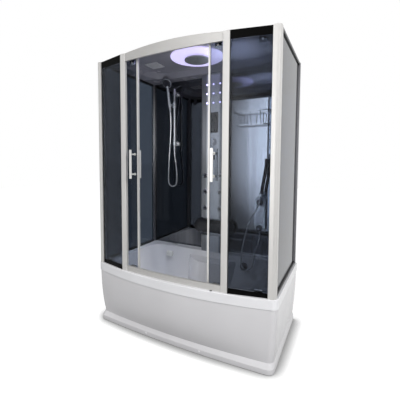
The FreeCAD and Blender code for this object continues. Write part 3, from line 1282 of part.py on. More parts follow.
def bath_handset():
    top = CUP_BASE.add(BATH_UP * BATH_GRIP_LENGTH)
    tail = rod(BATH_GRIP_RADIUS, BATH_HANDSET_END, CUP_BASE.add(BATH_UP * (CUP_HEIGHT + FIT)))
    grip = rod(CUP_BORE + FIT * 4, CUP_BASE.add(BATH_UP * (CUP_HEIGHT + FIT)), top)
    side = V(-math.cos(BATH_TILT), 0, math.sin(BATH_TILT))
    head_mid = top.add(BATH_UP * (BATH_HEAD_RADIUS * 0.6))
    head = rod(BATH_HEAD_RADIUS, head_mid.sub(side * (BATH_HEAD_THICK * 0.4)),
               head_mid.add(side * (BATH_HEAD_THICK * 0.6)))
    return fuse([tail, grip, head])


BATH_HOSE_DOWN = (
    (0.885, -25.0, -74.0), (0.764, -62.0, -101.0), (0.613, -84.0, -119.0), (0.453, -102.0, -130.0),
    (0.293, -118.0, -139.0), (0.155, -122.0, -147.0), (0.052, -120.0, -151.0), (0.0, -91.0, -152.0),
)
BATH_HOSE_UP = (
    (0.0, -49.0, -149.0), (0.095, -20.0, -142.0), (0.302, -15.0, -121.0), (0.508, -10.0, -79.0),
    (0.672, -5.0, -34.0), (0.852, 0.0, 0.0),
)


def bath_hose():
    end = BATH_HANDSET_END
    lead = end.sub(BATH_UP * BATH_HOSE_LEAD)
    outlet = V(PLATE_X, BACK_GLASS - PLATE_OUT / 2, PLATE_BOTTOM - OUTLET_LENGTH)
    loop = hanging_loop(lead, RIM_HEIGHT - BATH_HOSE_DIP, outlet, BATH_HOSE_DOWN, BATH_HOSE_UP)
    points = [end, lead] + loop + [outlet]
    return cord_tube("bath_hose", points, BATH_HOSE_RADIUS)


# Roof and what hangs in it
def dome_solid(grow):
    low = rounded_outline(-DOME_HALF - grow, DOME_HALF + grow, DOME_FRONT - grow, DOME_BACK + grow,
                          DOME_CORNER + grow, ROOF_UNDER)
    d = DOME_DRAFT
    high = rounded_outline(-DOME_HALF + d - grow, DOME_HALF - d + grow, DOME_FRONT + d - grow,
                           DOME_BACK - d + grow, DOME_CORNER - d + grow, DOME_UNDER + grow)
    return Part.makeLoft([low, high], True, True)


def roof():
    sheet = bowed_plate(ROOF_HALF, ROOF_BACK, ROOF_SIDE_FRONT, ROOF_APEX, RIM_CORNER, ROOF_UNDER,
                        ROOF_UNDER + ROOF_SHEET)
    shell = sheet.fuse(dome_solid(ROOF_SHEET)).cut(dome_solid(0))
    vent = rod(FAN_RADIUS, V(VENT_X, VENT_Y, DOME_UNDER - CUT), V(VENT_X, VENT_Y, DOME_UNDER + CUT * 2))
    return shell.cut(vent).removeSplitter()


def light_ring():
    z0 = DOME_UNDER - LIGHT_THICK
    ring = rod(LIGHT_OUTER, V(0, LIGHT_Y, z0), V(0, LIGHT_Y, DOME_UNDER))
    lower = [e for e in ring.Edges if e.BoundBox.ZMax < DOME_UNDER - FIT]
    ring = ring.makeFillet(LIGHT_THICK * 0.5, lower)
    return ring.cut(rod(LIGHT_INNER, V(0, LIGHT_Y, z0 - CUT), V(0, LIGHT_Y, DOME_UNDER + CUT)))


def rain_head():
    z0 = DOME_UNDER - RAIN_DROP
    disc = rod(RAIN_RADIUS, V(0, LIGHT_Y, z0), V(0, LIGHT_Y, z0 + RAIN_THICK))
    disc = disc.makeFillet(RAIN_THICK * 0.3, [e for e in disc.Edges if e.BoundBox.ZLength < FIT])
    neck = rod(RAIN_NECK, V(0, LIGHT_Y, z0), V(0, LIGHT_Y, DOME_UNDER))
    pieces = [disc, neck]
    for ring_radius, count in zip(NOZZLE_RINGS, NOZZLE_COUNTS):
        for i in range(count):
            t = 2 * math.pi * i / count
            x = ring_radius * math.cos(t)
            y = LIGHT_Y + ring_radius * math.sin(t)
            pieces.append(rod(NOZZLE_RADIUS, V(x, y, z0 - NOZZLE_HEIGHT), V(x, y, z0 + NOZZLE_HEIGHT)))
    return fuse(pieces)


def vent_cover():
    z1 = DOME_UNDER
    z0 = z1 - VENT_THICK
    h = VENT_HALF
    plate = box(VENT_X - h, VENT_X + h, VENT_Y - h, VENT_Y + h, z0, z1)
    room = h * 2 - VENT_SLOT * 2
    pitch = room / VENT_SLATS
    for i in range(VENT_SLATS):
        y = VENT_Y - room / 2 + pitch * (i + 0.5)
        plate = plate.cut(box(VENT_X - h + VENT_SLOT, VENT_X + h - VENT_SLOT, y - VENT_SLOT / 2,
                              y + VENT_SLOT / 2, z0 - CUT, z1 + CUT))
    return plate


def fan_housing():
    z0 = DOME_UNDER + ROOF_SHEET
    z1 = z0 + FAN_HEIGHT
    h = FAN_HOUSING_HALF
    frame = box(VENT_X - h, VENT_X + h, VENT_Y - h, VENT_Y + h, z0, z1)
    frame = frame.cut(rod(FAN_RADIUS + FIT * 2, V(VENT_X, VENT_Y, z0 - CUT), V(VENT_X, VENT_Y, z1 + CUT)))
    top = z1 - FAN_SPOKE
    reach = h - FAN_SPOKE
    half = FAN_SPOKE / 2
    spokes = [
        box(VENT_X - reach, VENT_X + reach, VENT_Y - half, VENT_Y + half, top, z1),
        box(VENT_X - half, VENT_X + half, VENT_Y - reach, VENT_Y + reach, top, z1),
        rod(FAN_HUB, V(VENT_X, VENT_Y, top), V(VENT_X, VENT_Y, z1)),
    ]
    return fuse([frame] + spokes)


def fan_rotor():
    z0 = DOME_UNDER + ROOF_SHEET + FIT
    z1 = z0 + FAN_HEIGHT - FAN_SPOKE - FIT * 2
    pieces = [rod(FAN_HUB, V(VENT_X, VENT_Y, z0), V(VENT_X, VENT_Y, z1))]
    reach = FAN_RADIUS - FIT * 6
    half = (z1 - z0) * 0.55
    for i in range(FAN_BLADES):
        blade = box(FAN_HUB * 0.8, reach, -FAN_BLADE / 2, FAN_BLADE / 2, -half, half)
        blade.rotate(V(0, 0, 0), X_AXIS, FAN_PITCH)
        blade.rotate(V(0, 0, 0), Z_AXIS, 360 * i / FAN_BLADES)
        blade.translate(V(VENT_X, VENT_Y, (z0 + z1) / 2))
        pieces.append(blade)
    return fuse(pieces)


# Write every sub-part
save("tub_shell", tub_shell())
save("apron", apron())
save("tub_frame", tub_frame())
save("levelling_feet", *levelling_feet())
save("waste_fitting", waste_fitting(), overflow_housing())
save("waste_plug", waste_plug())
save("overflow_knob", overflow_knob())
save("bath_spout", bath_spout())
save("front_posts", *corner_posts(), *door_posts())
save("rear_posts", *rear_posts())
save("header_rail", header_rail())
save("sill_rail", sill_rail())
save("side_rails", *side_rails())
save("side_panels", mirrored(side_panel()), side_panel())
save("fixed_glass", mirrored(fixed_glass()), fixed_glass())
save("back_panels", mirrored(back_panel()), back_panel())
save("door_tracks", door_track_top(), door_track_bottom())
for side, word in ((-1, "left"), (1, "right")):
    save("door_glass_" + word, drilled_glass(side))
    save("door_strip_" + word, door_strip(side))
    save("door_fittings_" + word, *door_fittings(side))
    save("door_handle_" + word, door_handle(side))
    for angle, place in zip(hanger_angles(side), ("inner", "outer")):
        save("roller_" + word + "_" + place, roller(angle))
save("column", column())
save("display", display())
save("star_lights", *star_lights())
save("trim_rings", *trim_rings())
save("mixer_valves", mixer_valves())
save("mixer_knob", mixer_knob())
save("diverter_knob", diverter_knob())
jet = 0
for x in (-JET_X, JET_X):
    for z in JET_HEIGHTS:
        jet += 1
        save("jet_nozzle_" + str(jet), jet_nozzle(x, z))
save("cushion", cushion())
save("riser_rail", riser_rail())
save("handset_slider", handset_slider())
save("handset_cradle", handset_cradle())
save("handset", handset())
save("shower_hose", shower_hose())
save("shelf", shelf())
save("bath_plate", bath_plate())
for z, name in zip(BATH_KNOB_HEIGHTS, BATH_KNOB_NAMES):
    save(name, bath_knob(z))
save("bath_handset", bath_handset())
save("bath_hose", bath_hose())
save("roof", roof())
save("light_ring", light_ring())
save("rain_head", rain_head())
save("vent_cover", vent_cover())
save("fan_housing", fan_housing())
save("fan_rotor", fan_rotor())
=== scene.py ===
# %% [markdown]
# # A shower cabin on a bow-fronted tub
#
# The solids of the cabin come in as a fixed frame: every pane, post, rail and knob is already
# where it belongs and already moves on its joint. What is left to make here is how the cabin
# looks. Tinted glass, mirror glass, acrylic, satin aluminium and chrome need a good surface
# each, and the soft and fine things, such as the cushion, the hoses and the small screws, are
# built in mesh code. All lengths are in metres.

# %% Load the frame
import math

import bmesh
import bpy
from mathutils import Matrix, Vector
from mathutils.bvhtree import BVHTree


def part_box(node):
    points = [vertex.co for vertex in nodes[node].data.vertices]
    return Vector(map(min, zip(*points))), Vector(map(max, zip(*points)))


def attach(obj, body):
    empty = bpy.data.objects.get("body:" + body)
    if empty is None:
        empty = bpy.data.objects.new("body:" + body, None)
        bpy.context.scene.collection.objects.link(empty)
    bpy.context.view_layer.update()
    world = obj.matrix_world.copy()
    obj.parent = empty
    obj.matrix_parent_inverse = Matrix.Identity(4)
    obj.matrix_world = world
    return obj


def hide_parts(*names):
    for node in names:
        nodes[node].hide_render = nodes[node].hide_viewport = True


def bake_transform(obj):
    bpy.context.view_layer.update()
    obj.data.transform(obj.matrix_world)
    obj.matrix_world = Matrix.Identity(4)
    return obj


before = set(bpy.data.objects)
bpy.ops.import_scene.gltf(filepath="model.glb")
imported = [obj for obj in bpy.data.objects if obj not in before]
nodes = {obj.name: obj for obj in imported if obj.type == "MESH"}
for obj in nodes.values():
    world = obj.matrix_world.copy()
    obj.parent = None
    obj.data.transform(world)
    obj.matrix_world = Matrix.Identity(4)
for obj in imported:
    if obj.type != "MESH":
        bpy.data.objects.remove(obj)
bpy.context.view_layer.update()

# %% [markdown]
# The camera stands in front of the right door post, at chest height, and looks down by less
# than four degrees, so the uprights stay nearly upright. Its lens is a wide one, 26 mm on a
# 36 mm sensor: that is what makes the near corner so much taller than the far one. The small
# shift says that the picture is a little off the middle of what the lens saw. A camera can be
# placed by eye, but this one was solved from the ends of the posts and rails, which puts every
# edge where it should be.

# %% Camera
PICTURE_SIZE = 400                        # pixels, both ways
FOCAL_LENGTH = 287.405                    # pixels
LENS_MIDDLE = (193.511, 181.023)          # the pixel that the lens looks straight at
SENSOR_WIDTH = 36.0                       # millimetres
CAMERA_PLACE = (1.09358, -2.09220, 1.33714)
CAMERA_TURNS = (90 - 3.6, -0.263, 27.978)     # degrees


def put_in_scene(name, data):
    thing = bpy.data.objects.new(name, data)
    bpy.context.scene.collection.objects.link(thing)
    return thing


lens = bpy.data.cameras.new("camera")
lens.sensor_width = SENSOR_WIDTH
lens.lens = FOCAL_LENGTH / PICTURE_SIZE * SENSOR_WIDTH
lens.shift_x = (PICTURE_SIZE / 2 - LENS_MIDDLE[0]) / PICTURE_SIZE
lens.shift_y = (LENS_MIDDLE[1] - PICTURE_SIZE / 2) / PICTURE_SIZE
lens.clip_start = 0.02
camera = put_in_scene("camera", lens)
camera.location = CAMERA_PLACE
camera.rotation_euler = [math.radians(turn) for turn in CAMERA_TURNS]
bpy.context.scene.camera = camera
print("lens", round(lens.lens, 2), "mm")

# %% [markdown]
# Light, finishes and swept shapes are all trees of nodes here. One helper makes a node, sets it
# up and fills its inputs: a number is set on the input, and the output of another node is
# linked to it. Two more make the nodes that are used most, a sum and an eased change from one
# level to another. The same trees can be drawn by hand in the node editor, but a short way to
# say them in a script keeps them readable.

# %% Node helpers


def node_with(tree, kind, inputs, **settings):
    """A new node. Its inputs are given by name or by number."""
    node = tree.nodes.new(kind)
    for word, value in settings.items():
        setattr(node, word, value)
    for label, value in inputs.items():
        if isinstance(value, bpy.types.NodeSocket):
            tree.links.new(value, node.inputs[label])
        else:
            node.inputs[label].default_value = value
    return node


def add_math(tree, kind, first, second=0.0):
    return node_with(tree, "ShaderNodeMath", {0: first, 1: second}, operation=kind).outputs[0]


def eased(tree, value, start, full, at_start, at_full, course="SMOOTHSTEP"):
    """at_start where the value is start or less, at_full where it is full or more."""
    ramp = node_with(tree, "ShaderNodeMapRange", {
        "Value": value, "From Min": start, "From Max": full, "To Min": at_start,
        "To Max": at_full}, interpolation_type=course)
    return ramp.outputs["Result"]


print("helpers", [helper.__name__ for helper in (node_with, add_math, eased)])

# %% [markdown]
# The light is that of a plain white studio. Two large soft lamps do most of the lighting, and
# the world fills in. What is seen directly or through glass is white paper. What glass and
# metal mirror is a studio wall: pale grey all round, with a broad bright screen in front and a
# little to the left, which gives the panes their veil and the chrome its light and dark, and a
# weaker one behind. The Light Path node tells these rays apart. Both kinds pass the floor by,
# so what glass shows below the horizon is made here too: the wall goes on, and the paper is a
# little greyer. A picture of a real studio could stand for all this, but two patches of light
# are all that the glass shows.

# %% World
bpy.context.scene.view_settings.view_transform = "Standard"
FILL_LEVEL = 0.42
WALL_LEVEL = 0.36
SCREEN_LEVEL = 3.5
SCREEN_TOWARDS = Vector((-0.10, -0.985, 0.07)).normalized()
SCREEN_EDGES = (0.940, 0.995)             # cosines, where its light starts and where it is full
LOW_PAPER = 0.80                          # the paper's tone below the horizon
HORIZON = (-0.01, 0.0)                    # heights of a direction between which it changes
BACK_LEVEL = 0.50
BACK_TOWARDS = Vector((0.25, 0.97, 0.0)).normalized()
BACK_EDGES = (0.7, 0.95)


def patch(tree, direction, towards, edges, level):
    """A soft round patch of light on the studio wall."""
    dot = node_with(tree, "ShaderNodeVectorMath", {0: direction, 1: towards},
                    operation="DOT_PRODUCT")
    return eased(tree, dot.outputs["Value"], *edges, 0.0, level)


def mirrored_studio(tree, direction):
    """What a mirror sees of the studio in one direction."""
    screen = patch(tree, direction, SCREEN_TOWARDS, SCREEN_EDGES, SCREEN_LEVEL)
    wall = add_math(tree, "ADD", screen, WALL_LEVEL)
    return add_math(tree, "ADD", patch(tree, direction, BACK_TOWARDS, BACK_EDGES, BACK_LEVEL), wall)


def studio_world():
    world = bpy.data.worlds.new("studio")
    world.use_nodes = True
    tree = world.node_tree
    tree.nodes.clear()
    rays = tree.nodes.new("ShaderNodeLightPath").outputs
    glossy = rays["Is Glossy Ray"]
    direction = tree.nodes.new("ShaderNodeTexCoord").outputs["Generated"]
    height = node_with(tree, "ShaderNodeSeparateXYZ", {"Vector": direction}).outputs["Z"]
    paper = eased(tree, height, *HORIZON, LOW_PAPER, 1.0)
    through_glass = add_math(tree, "MULTIPLY", rays["Is Transmission Ray"], paper)
    seen = add_math(tree, "MAXIMUM", rays["Is Camera Ray"], through_glass)
    mirrored = add_math(tree, "MULTIPLY", glossy, mirrored_studio(tree, direction))
    other = add_math(tree, "SUBTRACT", 1.0, add_math(tree, "MAXIMUM", seen, glossy))
    fill = add_math(tree, "MULTIPLY", other, FILL_LEVEL)
    light = add_math(tree, "ADD", add_math(tree, "ADD", seen, mirrored), fill)
    back = node_with(tree, "ShaderNodeBackground", {"Color": (1, 1, 1, 1), "Strength": light})
    node_with(tree, "ShaderNodeOutputWorld", {"Surface": back.outputs[0]})
    return world


bpy.context.scene.world = studio_world()
print("world", len(bpy.context.scene.world.node_tree.nodes), "nodes")

# %% [markdown]
# Every lamp is a flat rectangle, because a wide source gives soft shadows. Two stand outside,
# in front and on the right, and a weak one on the left. Tinted glass keeps most of their light
# out of the cabin, so five small ones inside lift what a photographer would light up too: the
# roof, the tub, the wall plate and the riser. No lamp is seen in a mirror or through glass.

# %% Lamps
WHITE = (1.0, 1.0, 1.0)
WIDE = 180                                # degrees, as far as a lamp can spread
# Name, place, target, width and height, watts, colour, spread in degrees
LAMPS = (
    ("front_lamp", (-0.4, -3.6, 4.2), (0.0, -0.2, 0.9), (2.4, 1.8), 100, WHITE, WIDE),
    ("right_lamp", (3.6, -1.8, 3.0), (0.0, 0.0, 1.0), (1.4, 1.4), 135, WHITE, WIDE),
    ("roof_wash", (0.0, 0.0, 1.35), (0.0, 0.0, 2.15), (1.0, 0.5), 2.4, (0.86, 0.86, 1.0), WIDE),
    ("tub_wash", (-0.45, -0.05, 2.0), (-0.60, 0.05, 0.3), (0.3, 0.3), 1.15, (0.84, 0.89, 1.0), 44),
    ("plate_wash", (0.15, -0.25, 1.25), (0.44, 0.36, 0.90), (0.2, 0.2), 0.58, WHITE, 36),
    ("riser_wash", (-0.05, -0.28, 1.75), (-0.48, 0.36, 1.62), (0.2, 0.2), 1.6, WHITE, 60),
    ("roof_glow", (0.42, 0.05, 1.75), (0.36, 0.05, 2.15), (0.25, 0.25), 1.3, (0.80, 0.84, 1.0), 60),
    ("left_lamp", (-3.8, -1.6, 2.2), (0.0, 0.0, 1.1), (1.4, 1.4), 26, WHITE, WIDE),
)

for name, place, target, size, watts, colour, spread in LAMPS:
    data = bpy.data.lights.new(name, "AREA")
    data.shape = "RECTANGLE"
    data.size, data.size_y = size
    data.energy = watts
    data.color = colour
    data.spread = math.radians(spread)
    lamp = put_in_scene(name, data)
    lamp.location = place
    lamp.rotation_euler = (Vector(target) - Vector(place)).to_track_quat("-Z", "Y").to_euler()
    lamp.visible_camera = lamp.visible_glossy = lamp.visible_transmission = False
print("lamps", [lamp[0] for lamp in LAMPS])

# %% [markdown]
# The floor is a large pale sheet. Seen directly it is as white as the world, and it only
# darkens where the cabin's shadow falls and close under its edge, where ambient occlusion paints
# a contact shadow into its emission and colour. Mirrored rays and rays that come out of glass
# pass it by and meet the world below it, so no horizon line crosses the mirrors. A backdrop
# that curves upwards hides the horizon too, but it would stand in the way of every view from
# behind.

# %% Floor
FLOOR_REACH = 14.0
FLOOR_TONE = 0.62
LIFT_SPAN = (1.0, 3.5)                    # from here to there the lift grows
NEAR_LIFT, FAR_LIFT = 0.62, 0.80
SHADE_REACH, SHADE_POWER = 0.11, 2.0      # the painted contact shadow under the cabin's edge


def pale_floor():
    paint = bpy.data.materials.new("pale_floor")
    paint.use_nodes = True
    tree = paint.node_tree
    inputs = tree.nodes["Principled BSDF"].inputs
    inputs["Roughness"].default_value = 0.9
    inputs["Specular IOR Level"].default_value = 0.1
    inputs["Emission Color"].default_value = (1, 1, 1, 1)
    seen = tree.nodes.new("ShaderNodeLightPath").outputs["Is Camera Ray"]
    place = tree.nodes.new("ShaderNodeTexCoord").outputs["Object"]
    reach = node_with(tree, "ShaderNodeVectorMath", {0: place}, operation="LENGTH")
    fade = eased(tree, reach.outputs["Value"], *LIFT_SPAN, NEAR_LIFT, FAR_LIFT)
    # Painted contact shadow: ambient occlusion near the cabin darkens the lift and the base colour.
    shade = node_with(tree, "ShaderNodeAmbientOcclusion", {"Distance": SHADE_REACH})
    open_sky = add_math(tree, "POWER", shade.outputs["AO"], SHADE_POWER)
    lift = add_math(tree, "MULTIPLY", add_math(tree, "MULTIPLY", seen, fade), open_sky)
    tree.links.new(add_math(tree, "MULTIPLY", open_sky, FLOOR_TONE), inputs["Base Color"])
    tree.links.new(lift, inputs["Emission Strength"])
    return paint


floor_mesh = bpy.data.meshes.new("floor")
floor_mesh.from_pydata([(x * FLOOR_REACH, y * FLOOR_REACH, 0)
                        for x, y in ((-1, -1), (1, -1), (1, 1), (-1, 1))], [], [(0, 1, 2, 3)])
floor_mesh.materials.append(pale_floor())
floor = put_in_scene("floor", floor_mesh)
floor.visible_glossy = floor.visible_transmission = False
print("floor", 2 * FLOOR_REACH, "m wide")

# %% [markdown]
# A real finish is never one flat colour. Three small shader groups do the work that many
# materials share: brushed lines for anodised and polished bars, a slow change of tone for
# moulded and cast things and for the smears that wiping leaves on glass, and a fine pebble for
# textured plastic and leather. Each is built once and gets its own values in every material
# that uses it. They all read Object coordinates, so a pattern stays on its piece wherever the
# camera stands, and it has no seams, as a picture wrapped round a bar would have.

# %% Shared shader groups
NOISE_SPAN = (0.35, 0.65)                 # most of what a noise gives lies in here


def new_group(name, numbers, outputs):
    group = bpy.data.node_groups.new(name, "ShaderNodeTree")
    for label, value in numbers.items():
        kind = "NodeSocketVector" if isinstance(value, tuple) else "NodeSocketFloat"
        socket = group.interface.new_socket(name=label, in_out="INPUT", socket_type=kind)
        socket.default_value = value
    for label in outputs:
        group.interface.new_socket(name=label, in_out="OUTPUT", socket_type="NodeSocketFloat")
    return group, group.nodes.new("NodeGroupInput").outputs


def stretched_place(group, inside):
    """Object coordinates, stretched by the group's own Scale."""
    where = group.nodes.new("ShaderNodeTexCoord").outputs["Object"]
    stretch = node_with(group, "ShaderNodeMapping", {"Vector": where, "Scale": inside["Scale"]})
    return stretch.outputs["Vector"]


def tone_group(name, detail, coarseness):
    """One noise gives height, roughness and tone, so that they change together."""
    group, inside = new_group(
        name, {"Scale": (3.0, 3.0, 3.0), "Rough low": 0.2, "Rough high": 0.4, "Tone low": 0.94},
        ("Height", "Roughness", "Tone"))
    noise = node_with(group, "ShaderNodeTexNoise", {
        "Vector": stretched_place(group, inside), "Scale": 1.0, "Detail": detail,
        "Roughness": coarseness}).outputs[0]
    rough = eased(group, noise, *NOISE_SPAN, inside["Rough low"], inside["Rough high"], "LINEAR")
    tone = eased(group, noise, *NOISE_SPAN, inside["Tone low"], 1.0, "LINEAR")
    node_with(group, "NodeGroupOutput", {"Height": noise, "Roughness": rough, "Tone": tone})
    return group


def pebble_group():
    group, inside = new_group("fine_pebble", {"Scale": (400.0, 400.0, 400.0)}, ("Height",))
    cells = node_with(group, "ShaderNodeTexVoronoi",
                      {"Vector": stretched_place(group, inside), "Scale": 1.0})
    node_with(group, "NodeGroupOutput", {"Height": cells.outputs["Distance"]})
    return group


brushed_lines = tone_group("brushed_lines", 3.0, 0.6)
slow_tone = tone_group("slow_tone", 2.0, 0.5)
fine_pebble = pebble_group()
print("groups", [group.name for group in (brushed_lines, slow_tone, fine_pebble)])

# %% [markdown]
# Each material starts from the Principled shader. `finish` sets its plain numbers on the
# shader's own sockets, since a number that is the same all over needs no node. `patterned`
# then hangs a group's outputs on the sockets that may change over the surface, and every
# material is kept by name in `paints`.

# %% Material helpers
SOCKETS = {"metal": "Metallic", "rough": "Roughness", "ior": "IOR", "clear": "Transmission Weight",
           "coat": "Coat Weight", "coat_rough": "Coat Roughness", "glow": "Emission Strength",
           "glow_colour": "Emission Color"}
paints = {}


def finish(name, colour, **numbers):
    paint = bpy.data.materials.new(name)
    paint.use_nodes = True
    paint.diffuse_color = (*colour, 1)
    inputs = paint.node_tree.nodes["Principled BSDF"].inputs
    inputs["Base Color"].default_value = (*colour, 1)
    for word, value in numbers.items():
        inputs[SOCKETS[word]].default_value = value
    paints[name] = paint
    return paint


def darkened(paint, tone):
    """The base colour is multiplied by a tone that changes over the surface."""
    tree = paint.node_tree
    base = tree.nodes["Principled BSDF"].inputs["Base Color"]
    colour = base.links[0].from_socket if base.is_linked else tuple(base.default_value)
    mix = node_with(tree, "ShaderNodeMix", {"Factor": 1.0, "A": colour, "B": tone},
                    data_type="RGBA", blend_type="MULTIPLY")
    tree.links.new(mix.outputs["Result"], base)
    return paint


def raised(paint, height, depth):
    tree = paint.node_tree
    bump = node_with(tree, "ShaderNodeBump", {"Height": height, "Distance": depth})
    tree.links.new(bump.outputs["Normal"], tree.nodes["Principled BSDF"].inputs["Normal"])
    return paint


def patterned(paint, group, scale, rough, tone, depth=0.0):
    tree = paint.node_tree
    node = node_with(tree, "ShaderNodeGroup", {
        "Scale": scale, "Rough low": rough[0], "Rough high": rough[1], "Tone low": tone},
        node_tree=group)
    tree.links.new(node.outputs["Roughness"], tree.nodes["Principled BSDF"].inputs["Roughness"])
    if depth:
        raised(paint, node.outputs["Height"], depth)
    return darkened(paint, node.outputs["Tone"])


def brushed(name, colour, lines, rough, tone=0.94, depth=0.00002, **numbers):
    return patterned(finish(name, colour, **numbers), brushed_lines, lines, rough, tone, depth)


def moulded(name, colour, scale, rough, tone=0.95, depth=0.0001, **numbers):
    return patterned(finish(name, colour, **numbers), slow_tone, (scale, scale, scale), rough, tone,
                     depth)


def pebbled(paint, scale, depth):
    node = node_with(paint.node_tree, "ShaderNodeGroup", {"Scale": (scale, scale, scale)},
                     node_tree=fine_pebble)
    return raised(paint, node.outputs["Height"], depth)


print("a finish may set", sorted(SOCKETS))

# %% [markdown]
# The tub and its apron are one kind of glossy white acrylic. The apron's copy has a darker base
# colour than the tub's: that is painted shade, for the upright apron that gets less light.
# Vacuum forming leaves it very slightly wavy, and that wave is what breaks up its long
# reflections. It is far too shallow to be worth any mesh, so it is a bump. Plastics are moulded
# in smaller waves, and paint and zinc on steel are rougher. Each line below gives a colour, the
# pattern's scale, the lowest and highest roughness, the darkest tone and the wave's height.

# %% Acrylic, paint and plastics
FINE = 60.0                               # pattern scale of small pieces
moulded("tub_acrylic", (0.69, 0.69, 0.71), 5.0, (0.10, 0.16), 0.97, 0.0006,
        coat=0.4, coat_rough=0.05)
# Painted shade: the apron's acrylic is darker than the tub's.
moulded("apron_acrylic", (0.575, 0.57, 0.585), 3.0, (0.14, 0.22), 0.96, 0.0008,
        coat=0.3, coat_rough=0.08)
moulded("white_plastic", (0.80, 0.80, 0.77), 20.0, (0.18, 0.3), coat=0.2)
moulded("roof_grey", (0.30, 0.30, 0.33), 4.0, (0.18, 0.28), 0.9, 0.0005, coat=0.5, coat_rough=0.08)
pebbled(moulded("black_plastic", (0.02, 0.02, 0.022), FINE, (0.4, 0.55), 0.8, 0.0), 900.0, 0.00005)
moulded("handset_dark", (0.055, 0.05, 0.07), FINE, (0.12, 0.2), 0.85, coat=0.6, coat_rough=0.04)
moulded("frame_paint", (0.28, 0.29, 0.31), 25.0, (0.4, 0.55), 0.85, metal=0.3)
moulded("zinc", (0.52, 0.53, 0.55), 90.0, (0.3, 0.5), 0.75, metal=1.0)
moulded("seal_rubber", (0.55, 0.57, 0.58), FINE, (0.35, 0.5), 0.9, clear=0.35)
moulded("gasket", (0.012, 0.012, 0.013), FINE, (0.45, 0.6), 0.8)
print(len(paints), "paints")

# %% [markdown]
# The posts and rails are satin anodised aluminium, drawn along their length. The lines of the
# grain run along the bar, so an upright and a rail need their own stretch of the same group.
# The uprights' copy is also lighter and less metallic than the rails': that is painted light,
# for the brighter light that fell on the posts.
# An anisotropic shader draws out the highlight too, but lines in roughness and height can be
# baked. Chrome is cast and polished, so it gets the slow tone with very little height.

# %% Metals
UPRIGHT = (220.0, 220.0, 2.5)             # stretch of the grain, along Z
LYING = (2.5, 220.0, 220.0)               # and along X
DARK_LYING = (3.0, 200.0, 200.0)
POLISH = 0.00002
# Painted light: the uprights' satin is lighter than the rails' satin of the same metal.
brushed("satin_upright_lit", (0.66, 0.65, 0.635), UPRIGHT, (0.32, 0.46), metal=0.40)
brushed("satin_rail", (0.60, 0.59, 0.575), LYING, (0.32, 0.46), metal=0.55)
brushed("satin_dark", (0.26, 0.26, 0.275), UPRIGHT, (0.32, 0.46), metal=0.4)
brushed("handle_satin", (0.76, 0.755, 0.735), UPRIGHT, (0.2, 0.3), metal=0.35)
brushed("dark_rail", (0.02, 0.02, 0.022), DARK_LYING, (0.3, 0.45), 0.7, metal=0.2)
brushed("track_dark", (0.035, 0.034, 0.032), DARK_LYING, (0.35, 0.5), 0.7, metal=0.3)
brushed("silver_panel", (0.66, 0.69, 0.73), (160.0, 160.0, 2.0), (0.28, 0.42), 0.93, metal=0.6)
moulded("chrome", (0.84, 0.85, 0.87), FINE, (0.04, 0.10), 0.95, POLISH, metal=0.88)
moulded("dark_chrome", (0.17, 0.17, 0.19), FINE, (0.08, 0.16), 0.9, POLISH, metal=1.0)
moulded("plate_satin", (0.74, 0.79, 0.86), FINE, (0.14, 0.25), 0.93, metal=0.2)
moulded("rain_steel", (0.38, 0.40, 0.40), FINE, (0.3, 0.45), 0.85, metal=0.5)
moulded("vent_steel", (0.74, 0.75, 0.76), FINE, (0.3, 0.45), 0.9, metal=0.1)
moulded("hose_steel", (0.78, 0.79, 0.81), 300.0, (0.16, 0.28), 0.85, metal=0.7)
moulded("brass", (0.52, 0.37, 0.16), 70.0, (0.25, 0.4), 0.8, metal=1.0)
print(len(paints), "paints")

# %% [markdown]
# There are three glasses. The front panes and doors let about two fifths of the light through
# and mirror little, the side walls let far less through, and the back wall is a mirror, which
# shows the riser rail a second time. Its base colour is darker on the left than on the right,
# which is painted shade, and its back is painted dark. A see-through grey would be simpler, but
# only full transmission with a tinted colour keeps the sharp gloss of glass. The column's front
# grows darker towards its two edges, which is painted shade too, the screen is black glass, and
# the roof's ring and the column's stars glow.

# %% Glass and lights
PANE_IOR = 1.2                            # lower than real glass, so curved doors keep a thin veil
WIPED = (2.0, 2.0, 6.0)                   # stretch of the smears
MIRROR_SHADE_SPAN = (0.05, 0.50)                # X where the mirror's painted shade starts to lift, and where it is gone
MIRROR_BACK = (0.4360, 0.4368)            # Y, inside the sheet, where its painted back starts
COLUMN_SHADE_SPAN = (0.048, 0.078)              # distance from the middle where the column's painted shade starts, and is full


def wiped(name, colour, rough, ior=PANE_IOR):
    return patterned(finish(name, colour, clear=1.0, ior=ior), slow_tone, WIPED, (0.0, rough), 0.97)


def along(paint, axis):
    """One of the piece's own coordinates."""
    where = paint.node_tree.nodes.new("ShaderNodeTexCoord").outputs["Object"]
    return node_with(paint.node_tree, "ShaderNodeSeparateXYZ", {"Vector": where}).outputs[axis]


def fading(paint, across, span, at_start, at_full):
    return darkened(paint, eased(paint.node_tree, across, *span, at_start, at_full))


wiped("tinted_glass", (0.38, 0.41, 0.46), 0.012)
wiped("side_glass", (0.035, 0.045, 0.062), 0.02, 1.5)
mirror = brushed("mirror_glass", (0.90, 0.92, 0.97), (26.0, 26.0, 0.7), (0.01, 0.05), 0.8, 0.0,
                 metal=1.0)
# Painted shade: the mirror's colour is darker on the left.
fading(mirror, along(mirror, "X"), MIRROR_SHADE_SPAN, 0.18, 1.0)
fading(mirror, along(mirror, "Y"), MIRROR_BACK, 1.0, 0.05)
panel = paints["silver_panel"]
